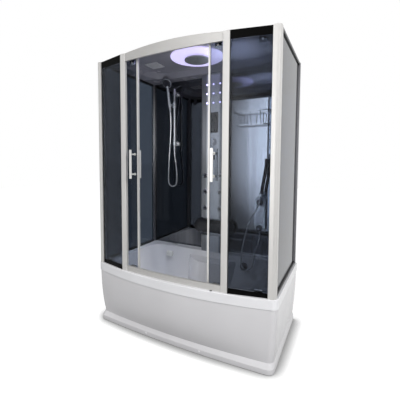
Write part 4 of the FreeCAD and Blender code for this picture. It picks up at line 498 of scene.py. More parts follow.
# Painted shade: the column's front is darker towards both edges, for the dark cabin they face.
fading(panel, add_math(panel.node_tree, "ABSOLUTE", along(panel, "X")), COLUMN_SHADE_SPAN, 1.0, 0.34)
moulded("screen_glass", (0.012, 0.012, 0.014), FINE, (0.1, 0.16), coat=1.0, coat_rough=0.02)
moulded("ring_lamp", (0.6, 0.58, 0.7), 18.0, (0.3, 0.45),
        glow=0.82, glow_colour=(0.66, 0.60, 1.0, 1))
moulded("star_lamp", (0.5, 0.48, 0.7), 300.0, (0.2, 0.3),
        glow=4.0, glow_colour=(0.55, 0.5, 1.0, 1))
print(len(paints), "paints")

# %% [markdown]
# The fixed front panes carry a black print along their foot and head, which hides the rails
# behind them. Ink on glass is opaque and matt, so below one height and above another the base
# colour is black and the surface rougher. A thin sheet of its own would flicker against the
# pane. Both heights are read from the pane's own Object coordinates.

# %% Printed bands
PRINT_FOOT = 0.526
PRINT_HEAD = 2.098
INK_ROUGH = 0.35


def printed(paint):
    tree = paint.node_tree
    height = along(paint, "Z")
    ink = add_math(tree, "MAXIMUM", add_math(tree, "LESS_THAN", height, PRINT_FOOT),
                   add_math(tree, "GREATER_THAN", height, PRINT_HEAD))
    rough = tree.nodes["Principled BSDF"].inputs["Roughness"]
    matt = add_math(tree, "MULTIPLY", ink, INK_ROUGH)
    tree.links.new(add_math(tree, "MAXIMUM", rough.links[0].from_socket, matt), rough)
    return darkened(paint, add_math(tree, "SUBTRACT", 1.0, ink))


printed(wiped("printed_glass", (0.43, 0.46, 0.51), 0.012))
print("print below", PRINT_FOOT, "and above", PRINT_HEAD)

# %% [markdown]
# Most solids have their final shape, so they are not rebuilt here and only need their
# material. An upright and a rail of the same metal get the one whose grain runs their way, and
# the uprights' copy carries painted light.

# %% Dress the solids
DRESS = {
    "tub_shell": "tub_acrylic", "apron": "apron_acrylic", "tub_frame": "frame_paint",
    "levelling_feet": "zinc", "waste_fitting": "chrome", "waste_plug": "chrome",
    "overflow_knob": "dark_chrome", "bath_spout": "white_plastic",
    "front_posts": "satin_upright_lit", "rear_posts": "satin_dark", "header_rail": "satin_rail",
    "sill_rail": "satin_rail", "side_rails": "dark_rail", "side_panels": "side_glass",
    "fixed_glass": "printed_glass", "back_panels": "mirror_glass", "door_tracks": "track_dark",
    "column": "silver_panel", "display": "screen_glass", "star_lights": "star_lamp",
    "trim_rings": "chrome", "mixer_valves": "brass", "mixer_knob": "chrome",
    "diverter_knob": "dark_chrome", "cushion": "gasket", "riser_rail": "chrome",
    "handset_slider": "chrome", "handset_cradle": "chrome", "handset": "chrome",
    "shower_hose": "hose_steel", "shelf": "chrome", "bath_plate": "plate_satin",
    "bath_knob_top": "dark_chrome", "bath_knob_bottom": "dark_chrome",
    "bath_handset": "handset_dark", "bath_hose": "hose_steel", "roof": "roof_grey",
    "light_ring": "ring_lamp", "rain_head": "rain_steel", "vent_cover": "vent_steel",
    "fan_housing": "black_plastic", "fan_rotor": "black_plastic",
}
for side in ("left", "right"):
    DRESS |= {"door_glass_" + side: "tinted_glass", "door_strip_" + side: "satin_upright_lit",
              "door_fittings_" + side: "chrome", "door_handle_" + side: "handle_satin"}
DRESS |= {name: "black_plastic" for name in nodes if name.startswith("roller")}
DRESS |= {name: "dark_chrome" for name in nodes if name.startswith("jet_nozzle")}

for name, paint in DRESS.items():
    materials = nodes[name].data.materials
    materials.clear()
    materials.append(paints[paint])
print(len(DRESS), "nodes dressed of", len(nodes))

# %% [markdown]
# The round things that are added below, such as a nut, a cap or a spray face, are turned like
# on a lathe: a profile of distance along the axis and radius is spun round it. A profile that
# starts and ends on the axis gives a closed shape whose faces point outwards. The Screw
# modifier does this too, but a few lines of bmesh can lean the axis any way and close the poles.

# %% Turning and placing


def add_piece(name, mesh, paint, body="cabin", sharp=40.0):
    """A finished piece: its place is in its mesh, and it rides on a body."""
    mesh.materials.clear()
    mesh.materials.append(paints[paint])
    for polygon in mesh.polygons:
        polygon.use_smooth = True
    mesh.set_sharp_from_angle(angle=math.radians(sharp))
    piece = put_in_scene(name, mesh)
    if body:
        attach(piece, body)
    return piece


def mesh_from(bm, name):
    mesh = bpy.data.meshes.new(name)
    bm.to_mesh(mesh)
    bm.free()
    return mesh


def turned_rings(bm, profile, foot, towards, steps):
    turn = Vector((0, 0, 1)).rotation_difference(Vector(towards)).to_matrix().to_4x4()
    place = Matrix.Translation(foot) @ turn
    rings = []
    for height, radius in profile:
        angles = [2 * math.pi * i / steps for i in range(steps)] if radius else [0.0]
        ring = [Vector((radius * math.cos(a), radius * math.sin(a), height)) for a in angles]
        rings.append([bm.verts.new(place @ point) for point in ring])
    for low, high in zip(rings, rings[1:]):
        for i in range(steps):
            j = (i + 1) % steps
            corners = [low[i % len(low)], low[j % len(low)],
                       high[j % len(high)], high[i % len(high)]]
            bm.faces.new(list(dict.fromkeys(corners)))


def turned(name, lathe_pieces, paint, body, steps):
    """One piece made of several turned shapes, each a (profile, foot, direction)."""
    bm = bmesh.new()
    for profile, foot, towards in lathe_pieces:
        turned_rings(bm, profile, foot, towards, steps)
    return add_piece(name, mesh_from(bm, name), paint, body)


print("helpers", [helper.__name__ for helper in (add_piece, mesh_from, turned)])

# %% [markdown]
# What repeats or follows a path is made by a Geometry Nodes tree. A loop in Python can place
# the same things, but a tree shows its sizes as named inputs and can be tried out by hand. It
# is put on a plain source mesh, its sizes are set, and the result is read back as a plain
# mesh. Every tree ends in Realize Instances and Set Material, so that no instance is left.

# %% Growing a mesh from a tree


def new_tree(name, sizes):
    """A Geometry Nodes tree with a named input for each size and one for the material."""
    tree = bpy.data.node_groups.new(name, "GeometryNodeTree")
    add = tree.interface.new_socket
    add(name="Geometry", in_out="INPUT", socket_type="NodeSocketGeometry")
    for label, value in sizes.items():
        kind = "NodeSocketInt" if isinstance(value, int) else "NodeSocketFloat"
        add(name=label, in_out="INPUT", socket_type=kind).default_value = value
    add(name="Material", in_out="INPUT", socket_type="NodeSocketMaterial")
    add(name="Geometry", in_out="OUTPUT", socket_type="NodeSocketGeometry")
    return tree, tree.nodes.new("NodeGroupInput").outputs


def ended(tree, geometry, inside):
    real = node_with(tree, "GeometryNodeRealizeInstances", {"Geometry": geometry})
    paint = node_with(tree, "GeometryNodeSetMaterial", {
        "Geometry": real.outputs["Geometry"], "Material": inside["Material"]})
    node_with(tree, "NodeGroupOutput", {"Geometry": paint.outputs["Geometry"]})
    return tree


def plain_mesh(holder, name):
    """The mesh that an object's modifiers make. The object itself goes."""
    ready = holder.evaluated_get(bpy.context.evaluated_depsgraph_get())
    mesh = bpy.data.meshes.new_from_object(ready)
    mesh.name = name
    bpy.data.objects.remove(holder)
    return mesh


def grown(name, source, tree, paint, sizes):
    holder = put_in_scene(name + "_source", source)
    modifier = holder.modifiers.new("tree", "NODES")
    modifier.node_group = tree
    named = {item.name: item.identifier for item in tree.interface.items_tree
             if item.in_out == "INPUT"}
    modifier[named["Material"]] = paints[paint]
    for label, value in sizes.items():
        modifier[named[label]] = value
    return plain_mesh(holder, name)


print("helpers", [helper.__name__ for helper in (new_tree, ended, plain_mesh, grown)])

# %% [markdown]
# The first tree sweeps a round section along a line. A sine over the length swells the section
# again and again, which gives the wound steel of a shower hose, and without the swell the same
# tree makes piping, seals and beads. A curve with a round bevel is the quick way to a smooth
# tube, but it has no swell.

# %% Swept tube


def swept_tube_tree():
    tree, inside = new_tree("swept_tube", {
        "Tube Radius": 0.007, "Ring Pitch": 0.003, "Ring Depth": 0.0, "Step": 0.001, "Sides": 16})
    line = node_with(tree, "GeometryNodeMeshToCurve", {"Mesh": inside["Geometry"]})
    even = node_with(tree, "GeometryNodeResampleCurve", {
        "Curve": line.outputs["Curve"], "Length": inside["Step"]}, mode="LENGTH")
    section = node_with(tree, "GeometryNodeCurvePrimitiveCircle", {
        "Radius": 1.0, "Resolution": inside["Sides"]})
    length = tree.nodes.new("GeometryNodeSplineParameter").outputs["Length"]
    turns = add_math(tree, "DIVIDE", length, inside["Ring Pitch"])
    wave = add_math(tree, "SINE", add_math(tree, "MULTIPLY", turns, 2 * math.pi))
    swell = add_math(tree, "MULTIPLY", wave, inside["Ring Depth"])
    sweep = node_with(tree, "GeometryNodeCurveToMesh", {
        "Curve": even.outputs["Curve"], "Profile Curve": section.outputs["Curve"],
        "Fill Caps": True, "Scale": add_math(tree, "ADD", swell, inside["Tube Radius"])})
    return ended(tree, sweep.outputs["Mesh"], inside)


def lines_mesh(name, lines, closed=False):
    """Separate lines of points, for the swept tube."""
    points, edges = [], []
    for line in lines:
        first = len(points)
        points += [tuple(point) for point in line]
        edges += [(i, i + 1) for i in range(first, len(points) - 1)]
        if closed:
            edges.append((len(points) - 1, first))
    mesh = bpy.data.meshes.new(name)
    mesh.from_pydata(points, edges, [])
    return mesh


def swept_lines(name, lines, paint, radius, body="cabin"):
    """Several separate lines swept into one piece."""
    mesh = grown(name, lines_mesh(name + "_lines", lines), swept_tube, paint,
                 {"Tube Radius": radius, "Step": 0.05, "Sides": 8})
    print(name, len(lines), "lines,", len(mesh.polygons), "faces")
    return add_piece(name, mesh, paint, body)


swept_tube = swept_tube_tree()
print("tree", swept_tube.name)

# %% [markdown]
# The second tree sets a small cone on every point of a mesh, turned to the point's own
# direction: spray nozzles and screw heads. Painted dots would look flat from the side. The
# direction is stored on the points as an attribute, which the tree reads by name.

# %% Cone field


def cone_field_tree():
    tree, inside = new_tree("cone_field", {
        "Foot Radius": 0.002, "Tip Radius": 0.001, "Height": 0.002, "Sides": 10})
    cone = node_with(tree, "GeometryNodeMeshCone", {
        "Radius Bottom": inside["Foot Radius"], "Radius Top": inside["Tip Radius"],
        "Depth": inside["Height"], "Vertices": inside["Sides"]})
    facing = node_with(tree, "GeometryNodeInputNamedAttribute", {"Name": "facing"},
                       data_type="FLOAT_VECTOR")
    turn = node_with(tree, "FunctionNodeAlignRotationToVector",
                     {"Vector": facing.outputs["Attribute"]}, axis="Z")
    spots = node_with(tree, "GeometryNodeMeshToPoints", {"Mesh": inside["Geometry"]})
    field = node_with(tree, "GeometryNodeInstanceOnPoints", {
        "Points": spots.outputs["Points"], "Instance": cone.outputs["Mesh"],
        "Rotation": turn.outputs["Rotation"]})
    return ended(tree, field.outputs["Instances"], inside)


def cone_field(name, spots, paint, body, foot, tip, height, sides=10):
    """A cone on each spot, which is a (place, direction)."""
    source = bpy.data.meshes.new(name + "_spots")
    source.from_pydata([tuple(place) for place, facing in spots], [], [])
    store = source.attributes.new("facing", "FLOAT_VECTOR", "POINT")
    for entry, (place, facing) in zip(store.data, spots):
        entry.vector = facing
    mesh = grown(name, source, cones, paint,
                 {"Foot Radius": foot, "Tip Radius": tip, "Height": height, "Sides": sides})
    print(name, len(spots), "cones")
    return add_piece(name, mesh, paint, body)


cones = cone_field_tree()
print("tree", cones.name)

# %% [markdown]
# Each hose is a fixed length of wound steel that hangs under its own weight. It leaves the tail
# of its handset, hangs in one loop and goes up into its outlet. Straight runs with rounded
# corners look like bent wire, so a NURBS spline over the route's control points gives the soft
# line, and the swept tube follows the points read from that spline. The shower hose is 14 mm
# thick and 1.2 m long, the bath hose 12 mm and 1.05 m.

# %% Hoses
SHOWER_ROUTE = [
    (-0.475, 0.357485, 1.869787), (-0.475, 0.376197, 1.781753), (-0.480, 0.381, 1.67487),
    (-0.486, 0.379, 1.54007), (-0.495, 0.377, 1.41004), (-0.502, 0.3755, 1.29022),
    (-0.504, 0.3747, 1.20513), (-0.5025, 0.374, 1.13024), (-0.474, 0.373, 1.100965),
    (-0.433, 0.372, 1.100965), (-0.4045, 0.3713, 1.13007), (-0.401, 0.371, 1.200),
    (-0.408, 0.3705, 1.28997), (-0.422, 0.3702, 1.3701), (-0.430, 0.370, 1.42983),
    (-0.430, 0.370, 1.478965),
]
BATH_ROUTE = [
    (0.44912, 0.360, 1.03711), (0.44052, 0.360, 0.98279), (0.407, 0.345, 0.91807),
    (0.370, 0.318, 0.84997), (0.348, 0.300, 0.76499), (0.330, 0.289, 0.67494),
    (0.314, 0.280, 0.5849), (0.310, 0.272, 0.50723), (0.312, 0.268, 0.44927),
    (0.341, 0.267, 0.420), (0.383, 0.270, 0.420), (0.412, 0.277, 0.44899),
    (0.417, 0.298, 0.51214), (0.422, 0.340, 0.5750), (0.427, 0.385, 0.62503),
    (0.432, 0.419, 0.67996), (0.432, 0.419, 0.72511),
]
SHOWER_RADIUS, BATH_RADIUS = 0.007, 0.006
# Shares of the radius: the core, the swell of each ring, their pitch, the step of the sweep
CORE, SWELL, PITCH, STEP = 0.96, 0.04, 0.46, 0.075


def route_line(name, route):
    """The points of a smooth NURBS spline over the route."""
    data = bpy.data.curves.new(name, "CURVE")
    data.dimensions = "3D"
    spline = data.splines.new("NURBS")
    spline.points.add(len(route) - 1)
    for point, place in zip(spline.points, route):
        point.co = (*place, 1)
    spline.order_u = 3
    spline.use_endpoint_u = True
    spline.resolution_u = 16
    return [vertex.co.copy() for vertex in plain_mesh(put_in_scene(name, data), name).vertices]


def wound_hose(name, route, radius):
    points = route_line(name + "_route", route)
    mesh = grown(name, lines_mesh(name + "_line", [points]), swept_tube, "hose_steel", {
        "Tube Radius": radius * CORE, "Ring Depth": radius * SWELL, "Ring Pitch": radius * PITCH,
        "Step": radius * STEP, "Sides": 14})
    length = sum((b - a).length for a, b in zip(points, points[1:]))
    print(name, round(length, 3), "m,", len(mesh.polygons), "faces")
    return add_piece(name, mesh, "hose_steel", None), points, length


shower_hose, shower_points, shower_length = wound_hose(
    "shower_hose_wound", SHOWER_ROUTE, SHOWER_RADIUS)
bath_hose, bath_points, bath_length = wound_hose("bath_hose_wound", BATH_ROUTE, BATH_RADIUS)

# %% [markdown]
# A hose ends in a conical nut at either end, with a collar where the hand turns it. It is
# turned on the lathe, with its axis along the hose's first stretch.

# %% Hose nuts


def end_nut(name, points, radius, length, body):
    """A nut on the hose's first point, its narrow end along the hose."""
    wide = radius * 1.42
    profile = [(0, 0), (0, wide * 0.92), (length * 0.03, wide), (length * 0.30, wide),
               (length * 0.34, wide * 0.90), (length * 0.38, wide * 0.96),
               (length * 0.92, radius * 1.12), (length, radius * 1.04), (length, 0)]
    towards = (points[2] - points[0]).normalized()
    return turned(name, [(profile, points[0], towards)], "chrome", body, 32)


hose_nuts = {
    "shower_hose": [end_nut("shower_nut_top", shower_points, SHOWER_RADIUS, 0.034, "handset"),
                    end_nut("shower_nut_low", shower_points[::-1], SHOWER_RADIUS, 0.034, "cabin")],
    "bath_hose": [end_nut("bath_nut_top", bath_points, BATH_RADIUS, 0.030, "bath_handset"),
                  end_nut("bath_nut_low", bath_points[::-1], BATH_RADIUS, 0.030, "cabin")],
}
print("nuts", [nut.name for pair in hose_nuts.values() for nut in pair])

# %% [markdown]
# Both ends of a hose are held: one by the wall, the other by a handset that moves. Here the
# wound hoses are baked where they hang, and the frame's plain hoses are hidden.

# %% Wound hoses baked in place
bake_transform(shower_hose)
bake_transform(bath_hose)
for hose, route, points, length, radius, node in (
        (shower_hose, SHOWER_ROUTE, shower_points, shower_length, SHOWER_RADIUS, "shower_hose"),
        (bath_hose, BATH_ROUTE, bath_points, bath_length, BATH_RADIUS, "bath_hose")):
    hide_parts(node)
print("hoses", round(shower_length, 3), round(bath_length, 3), "m")

# %% [markdown]
# The back cushion is a stuffed pad in black leather cloth. A rounded box would look hard, so
# its shape comes from a short cloth simulation: a slightly smaller pad is remeshed finely,
# blown up from inside for twenty frames and stopped where it has moved far enough. The front
# crowns, the rim stays tight, and where it rests on its backing plate it is flat.

# %% Cushion
PAD_LOW, PAD_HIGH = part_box("cushion")
PAD_MIDDLE = (Vector(PAD_LOW) + Vector(PAD_HIGH)) / 2
PAD_HALF = (Vector(PAD_HIGH) - Vector(PAD_LOW)) / 2
PAD_START_SHARE = Vector((0.975, 0.80, 0.93))
PAD_VOXEL = 0.005
PAD_PRESSURE = 4.0
PAD_FRAMES = 20
PAD_SWELL_CAP = 0.012
PAD_MARGIN = 0.0005                       # it stays this far inside its solid's sides
pebbled(finish("leather_black", (0.018, 0.018, 0.020), rough=0.42, coat=0.25, coat_rough=0.3),
        700.0, 0.000125)


def pad_start():
    bm = bmesh.new()
    bm.from_mesh(nodes["cushion"].data)
    bmesh.ops.remove_doubles(bm, verts=bm.verts, dist=0.0002)
    for vertex in bm.verts:
        vertex.co = PAD_MIDDLE + (vertex.co - PAD_MIDDLE) * PAD_START_SHARE
    holder = put_in_scene("pad_start", mesh_from(bm, "pad_start"))
    remesh = holder.modifiers.new("remesh", "REMESH")
    remesh.mode = "VOXEL"
    remesh.voxel_size = PAD_VOXEL
    return plain_mesh(holder, "pad_voxels")


def blown_up(start):
    """Twenty frames of cloth with pressure inside and no gravity."""
    pad = put_in_scene("pad", start)
    cloth = pad.modifiers.new("cloth", "CLOTH")
    cloth.settings.quality = 5
    cloth.settings.use_pressure = True
    cloth.settings.uniform_pressure_force = PAD_PRESSURE
    cloth.settings.effector_weights.gravity = 0.0
    for frame_number in range(1, PAD_FRAMES + 1):
        bpy.context.scene.frame_set(frame_number)
    ready = plain_mesh(pad, "pad_swollen")
    bpy.context.scene.frame_set(1)
    return ready


def padded_cushion():
    start = pad_start()
    at_rest = [vertex.co.copy() for vertex in start.vertices]
    mesh = blown_up(start)
    for vertex, rest in zip(mesh.vertices, at_rest):
        step = vertex.co - rest
        if step.length > PAD_SWELL_CAP:
            step = step.normalized() * PAD_SWELL_CAP
        vertex.co = rest + step
        vertex.co.y = min(vertex.co.y + PAD_HALF.y * (1 - PAD_START_SHARE.y), PAD_HIGH[1])
        for axis in (0, 2):
            low, high = PAD_LOW[axis] + PAD_MARGIN, PAD_HIGH[axis] - PAD_MARGIN
            vertex.co[axis] = min(max(vertex.co[axis], low), high)
    return mesh


cushion = add_piece("cushion_padded", padded_cushion(), "leather_black", "cabin", 180)
soften = cushion.modifiers.new("soften", "SUBSURF")
soften.levels = soften.render_levels = 1
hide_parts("cushion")
print("cushion", len(cushion.data.polygons), "faces")

# %% [markdown]
# Piping is sewn round the cushion where its front and back covers meet. That line is found on
# the finished pad: rays are sent in from all round, a little in front of its middle, and where
# they meet the surface the swept tube lays the cord, half sunk into the cloth.

# %% Piping
PIPING_RADIUS = 0.0028
PIPING_STEPS = 160
SEAM_FORWARD = 0.10                       # share of the pad's half depth
END_PULL = 2.2                            # how soon the ray's start slides to the round ends
RAY_START = 0.3
pebbled(finish("piping_black", (0.022, 0.022, 0.024), rough=0.38, coat=0.3), 900.0, 0.00005)


def piping_path():
    bm = bmesh.new()
    bm.from_mesh(cushion.data)
    surface = BVHTree.FromBMesh(bm)
    bm.free()
    seam_y = PAD_MIDDLE.y - PAD_HALF.y * SEAM_FORWARD
    straight = PAD_HALF.x - PAD_HALF.z
    points = []
    for i in range(PIPING_STEPS):
        turn = 2 * math.pi * i / PIPING_STEPS
        around = Vector((math.cos(turn), 0, math.sin(turn)))
        slide = straight * max(-1, min(1, END_PULL * around.x))
        middle = Vector((PAD_MIDDLE.x + slide, seam_y, PAD_MIDDLE.z))
        hit = surface.ray_cast(middle + around * RAY_START, -around)[0]
        points.append(hit - around * PIPING_RADIUS * 0.5)
    return points


piping_mesh = grown("cushion_piping", lines_mesh("piping_line", [piping_path()], closed=True),
                    swept_tube, "piping_black",
                    {"Tube Radius": PIPING_RADIUS, "Step": 0.003, "Sides": 10})
add_piece("cushion_piping", piping_mesh, "piping_black")
print("piping", len(piping_mesh.polygons), "faces")

# %% [markdown]
# A pane never touches metal. Black gaskets run down both edges of the fixed panes, inside and
# out, clear silicone closes the back walls to the deck and the column, and a soft clear fin
# seals the trailing edge of each door. All of them are straight lines for the sweeping tree,
# read from the boxes and corners of the panes that they belong to.

# %% Seals
GASKET_RADIUS, GASKET_SHORT = 0.0022, 0.002      # short: how far it ends before its pane does
SILICONE_RADIUS, SILICONE_SHORT, SILICONE_LIFT = 0.0035, 0.004, 0.001
CORNER_GAP, COLUMN_GAP = 0.012, 0.002
FIN_RADIUS, FIN_SHORT, FIN_SINK, FIN_FORWARD = 0.0030, 0.010, 0.0005, 0.0025
EDGE_BAND = 0.003                         # corners this near to a door's edge belong to it
moulded("silicone", (0.55, 0.56, 0.58), FINE, (0.3, 0.45), 0.9, clear=0.2)


def pane_edges(node, side):
    """The four upright edges of one flat pane: its x, y places."""
    corners = {(round(v.co.x, 4), round(v.co.y, 4)) for v in nodes[node].data.vertices
               if v.co.x * side > 0}
    return sorted(corners, key=lambda corner: abs(corner[0]))


FOOT_Z, HEAD_Z = (corner[2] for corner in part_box("fixed_glass"))
swept_lines("pane_gaskets", [[(x, y, FOOT_Z + GASKET_SHORT), (x, y, HEAD_Z - GASKET_SHORT)]
                             for side in (-1, 1) for x, y in pane_edges("fixed_glass", side)],
            "gasket", GASKET_RADIUS)

BACK_LOW, BACK_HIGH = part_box("back_panels")
COLUMN_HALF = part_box("column")[1][0]
silicone_lines = []
for side in (-1, 1):
    outer = side * (BACK_HIGH[0] - CORNER_GAP)
    inner = side * (COLUMN_HALF + COLUMN_GAP)
    y, foot, head = BACK_LOW[1], BACK_LOW[2], BACK_HIGH[2]
    silicone_lines += [[(outer, y, foot + SILICONE_LIFT), (inner, y, foot + SILICONE_LIFT)],
                       [(inner, y, foot + SILICONE_SHORT), (inner, y, head - SILICONE_SHORT)]]
swept_lines("silicone_beads", silicone_lines, "silicone", SILICONE_RADIUS)

for word, side in (("left", -1), ("right", 1)):
    low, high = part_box("door_glass_" + word)
    edge = side * (max(abs(low[0]), abs(high[0])) - FIN_SINK)
    y = max(v.co.y for v in nodes["door_glass_" + word].data.vertices
            if v.co.x * side > abs(edge) - EDGE_BAND) - FIN_FORWARD
    fin = [(edge, y, low[2] + FIN_SHORT), (edge, y, high[2] - FIN_SHORT)]
    swept_lines("door_seal_" + word, [fin], "seal_rubber", FIN_RADIUS, word + "_door")

# %% [markdown]
# The showers spray through small rubber cones, set in rings. Each head gets a dark face plate
# with a bright rim, turned on the lathe, and the cone field puts a nozzle on every place of
# the rings. Faces and nozzles ride with their head.

# %% Spray faces
HAND_FACE = Vector((-0.475, 0.29673, 2.10466))
HAND_LEAN = math.radians(40)
HAND_FACING = Vector((0, -math.cos(HAND_LEAN), -math.sin(HAND_LEAN)))
HAND_FACE_RADIUS = 0.048 * 0.985
BATH_LEAN = math.radians(9.0)
BATH_UP = Vector((math.sin(BATH_LEAN), 0, math.cos(BATH_LEAN)))
BATH_FACING = Vector((-math.cos(BATH_LEAN), 0, math.sin(BATH_LEAN)))
BATH_FACE = Vector((0.451, 0.360, 1.04896)) + BATH_UP * (0.290 + 0.026 * 0.6) + BATH_FACING * 0.0132
BATH_FACE_RADIUS = 0.026 * 0.985
moulded("rubber_grey", (0.10, 0.10, 0.11), FINE, (0.4, 0.55), 0.85)
moulded("face_dark", (0.035, 0.034, 0.042), FINE, (0.15, 0.25), 0.85, coat=0.5)


def ring_spots(middle, facing, rings):
    """Places on rings around a middle, all facing one way."""
    side = facing.orthogonal().normalized()
    up = facing.cross(side)
    spots = []
    for radius, count in rings:
        for i in range(count):
            turn = 2 * math.pi * i / count
            spots.append((middle + (side * math.cos(turn) + up * math.sin(turn)) * radius, facing))
    return spots


def spray_face(name, middle, facing, radius, body, rings):
    """Rim, plate and nozzles. Each ring is a (radius, count of nozzles)."""
    rim = [(-0.001, 0), (-0.001, radius), (0.0012, radius), (0.0024, radius * 0.975),
           (0.0024, radius * 0.90), (0.0008, radius * 0.89), (0.0008, 0)]
    plate = [(-0.0005, 0), (-0.0005, radius * 0.885), (0.0012, radius * 0.88),
             (0.0022, radius * 0.60), (0.0024, radius * 0.25), (0.0016, radius * 0.20), (0.0016, 0)]
    turned(name + "_rim", [(rim, middle, facing)], "chrome", body, 64)
    turned(name + "_plate", [(plate, middle + facing * 0.0005, facing)], "face_dark", body, 64)
    cone_field(name + "_nozzles", ring_spots(middle + facing * 0.0022, facing, rings),
               "rubber_grey", body, foot=0.0014, tip=0.0008, height=0.0018)


spray_face("handset_face", HAND_FACE, HAND_FACING, HAND_FACE_RADIUS, "handset",
           ((0.014, 8), (0.023, 14), (0.032, 20), (0.040, 26)))
spray_face("bath_head_face", BATH_FACE, BATH_FACING, BATH_FACE_RADIUS, "bath_handset",
           ((0.009, 6), (0.015, 10), (0.020, 14)))

# %% [markdown]
# The screen of the steam computer is a sheet of black glass in a thin dark metal frame. Under
# its window are plain round keys. The frames are closed loops of a rounded rectangle, joined
# ring by ring, and the keys are turned. Both stand less than two millimetres proud.

# %% Screen frame and keys
SCREEN_LOW, SCREEN_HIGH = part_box("display")
SCREEN_MIDDLE = (Vector(SCREEN_LOW) + Vector(SCREEN_HIGH)) / 2
SCREEN_FACE = SCREEN_LOW[1]
FRAME_OVER = 0.001                        # the frame reaches this far over the glass's edge
WINDOW_UP = Vector((0, 0, 0.038))
KEY_RADIUS = 0.0065
KEY_PITCH_X, KEY_PITCH_Z = 0.021, 0.0195
KEY_ROWS = 4
KEYS_TOP = SCREEN_MIDDLE.z - 0.008
moulded("key_dark", (0.09, 0.09, 0.10), FINE, (0.25, 0.35), 0.9, coat=0.4)


def rounded_loop(half_x, half_z, corner, steps=8):
    """Points of a rounded rectangle in the XZ plane, around the origin."""
    points = []
    for sx, sz, start in ((1, 1, 0), (-1, 1, 90), (-1, -1, 180), (1, -1, 270)):
        for i in range(steps + 1):
            turn = math.radians(start + 90 * i / steps)
            points.append(Vector((sx * (half_x - corner) + corner * math.cos(turn), 0,
                                  sz * (half_z - corner) + corner * math.sin(turn))))
    return points


def rounded_frame(name, middle, half_x, half_z, corner, width, back, front, paint):
    """A rounded rectangular frame whose front face looks along -Y."""
    soft = width * 0.25
    outer = rounded_loop(half_x, half_z, corner)
    outer_soft = rounded_loop(half_x - soft, half_z - soft, corner - soft * 0.5)
    inner = rounded_loop(half_x - width, half_z - width, max(corner - width, 0.0005))
    inner_soft = rounded_loop(half_x - width + soft, half_z - width + soft,
                              max(corner - width + soft, 0.001))
    rows = [(outer, back), (outer, front + soft), (outer_soft, front), (inner_soft, front),
            (inner, front + soft), (inner, back)]
    bm = bmesh.new()
    rings = [[bm.verts.new((middle.x + p.x, y, middle.z + p.z)) for p in loop] for loop, y in rows]
    for low, high in zip(rings, rings[1:] + rings[:1]):
        for i in range(len(low)):
            j = (i + 1) % len(low)
            bm.faces.new([low[i], high[i], high[j], low[j]])
    bmesh.ops.recalc_face_normals(bm, faces=bm.faces)
    return add_piece(name, mesh_from(bm, name), paint)


rounded_frame("screen_frame", SCREEN_MIDDLE, half_x=SCREEN_MIDDLE.x - SCREEN_LOW[0] + FRAME_OVER,
              half_z=SCREEN_MIDDLE.z - SCREEN_LOW[2] + FRAME_OVER, corner=0.006, width=0.004,
              back=SCREEN_FACE + 0.003, front=SCREEN_FACE - 0.0015, paint="dark_chrome")
rounded_frame("screen_window", SCREEN_MIDDLE + WINDOW_UP, half_x=0.034, half_z=0.026,
              corner=0.004, width=0.0015, back=SCREEN_FACE + 0.001, front=SCREEN_FACE - 0.0006,
              paint="dark_chrome")
key_profile = [(-0.001, 0), (-0.001, KEY_RADIUS), (0.0008, KEY_RADIUS), (0.0015, KEY_RADIUS * 0.86),
               (0.0012, KEY_RADIUS * 0.5), (0.0011, 0)]
keys = [(key_profile, (column * KEY_PITCH_X, SCREEN_FACE, KEYS_TOP - row * KEY_PITCH_Z), (0, -1, 0))
        for row in range(KEY_ROWS) for column in (-1, 0, 1)]
turned("screen_keys", keys, "key_dark", "cabin", 24)
print("screen keys", len(keys))

# %% [markdown]
# Small fittings finish the trims: a bright cap in the middle of each bath knob, the two caps
# over the screws that hold the apron's lip, and the plug that closes a drilling in the rim.
# The lip is part of a very large circle, so its caps are set out from that circle's centre.

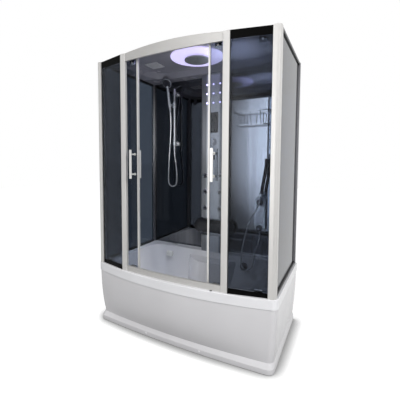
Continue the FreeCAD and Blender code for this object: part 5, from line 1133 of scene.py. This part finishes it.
# %% Caps
PLATE_X = 0.432
LIP_RADIUS = 9.253
LIP_CENTRE = Vector((0, 8.885, 0.020))    # of the lip's circle, at the caps' height
LIP_CAPS_X = (-0.234, 0.227)
RIM_PLUG_PLACE = (0.330, -0.4035, 0.4950)
knob_cap = [(-0.001, 0), (-0.001, 0.0088), (0.0012, 0.0088), (0.0024, 0.0072), (0.0030, 0.0035),
            (0.0031, 0)]
lip_cap = [(-0.004, 0), (-0.004, 0.008), (0.001, 0.008), (0.0022, 0.0062), (0.0026, 0)]
rim_plug = [(-0.003, 0), (-0.003, 0.009), (0.0008, 0.009), (0.0016, 0.007), (0.0018, 0)]

for word in ("top", "bottom"):
    low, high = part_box("bath_knob_" + word)
    middle = (PLATE_X, low[1], (low[2] + high[2]) / 2)
    turned("bath_knob_cap_" + word, [(knob_cap, middle, (0, -1, 0))], "chrome",
           "bath_knob_" + word, 32)

lip_spots = []
for x in LIP_CAPS_X:
    outward = Vector((x, -math.sqrt(LIP_RADIUS ** 2 - x ** 2), 0)).normalized()
    lip_spots.append((lip_cap, LIP_CENTRE + outward * LIP_RADIUS, outward))
turned("lip_caps", lip_spots, "tub_acrylic", "cabin", 24)
turned("rim_plug", [(rim_plug, RIM_PLUG_PLACE, (0, 0, 1))], "dark_chrome", "cabin", 24)
print("caps on two knobs and", len(lip_spots), "on the lip")

# %% [markdown]
# Screws hold what is thin. Only their heads show, so these are all that is made: a field of
# flat cones, one in each corner of the vent cover and a row up the outer side of each rear post.

# %% Screws
VENT_INSET = 0.010
POST_INSET = 0.10
POST_SCREWS = 7
VENT_LOW, VENT_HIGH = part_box("vent_cover")
POST_LOW, POST_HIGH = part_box("rear_posts")
screw_spots = []
for x in (VENT_LOW[0] + VENT_INSET, VENT_HIGH[0] - VENT_INSET):
    for y in (VENT_LOW[1] + VENT_INSET, VENT_HIGH[1] - VENT_INSET):
        screw_spots.append((Vector((x, y, VENT_LOW[2])), Vector((0, 0, -1))))
pitch = (POST_HIGH[2] - POST_LOW[2] - 2 * POST_INSET) / (POST_SCREWS - 1)
for side in (-1, 1):
    for i in range(POST_SCREWS):
        place = Vector((side * POST_HIGH[0], (POST_LOW[1] + POST_HIGH[1]) / 2,
                        POST_LOW[2] + POST_INSET + i * pitch))
        screw_spots.append((place, Vector((side, 0, 0))))
cone_field("screw_heads", screw_spots, "zinc", "cabin", foot=0.0038, tip=0.0022, height=0.0016,
           sides=16)
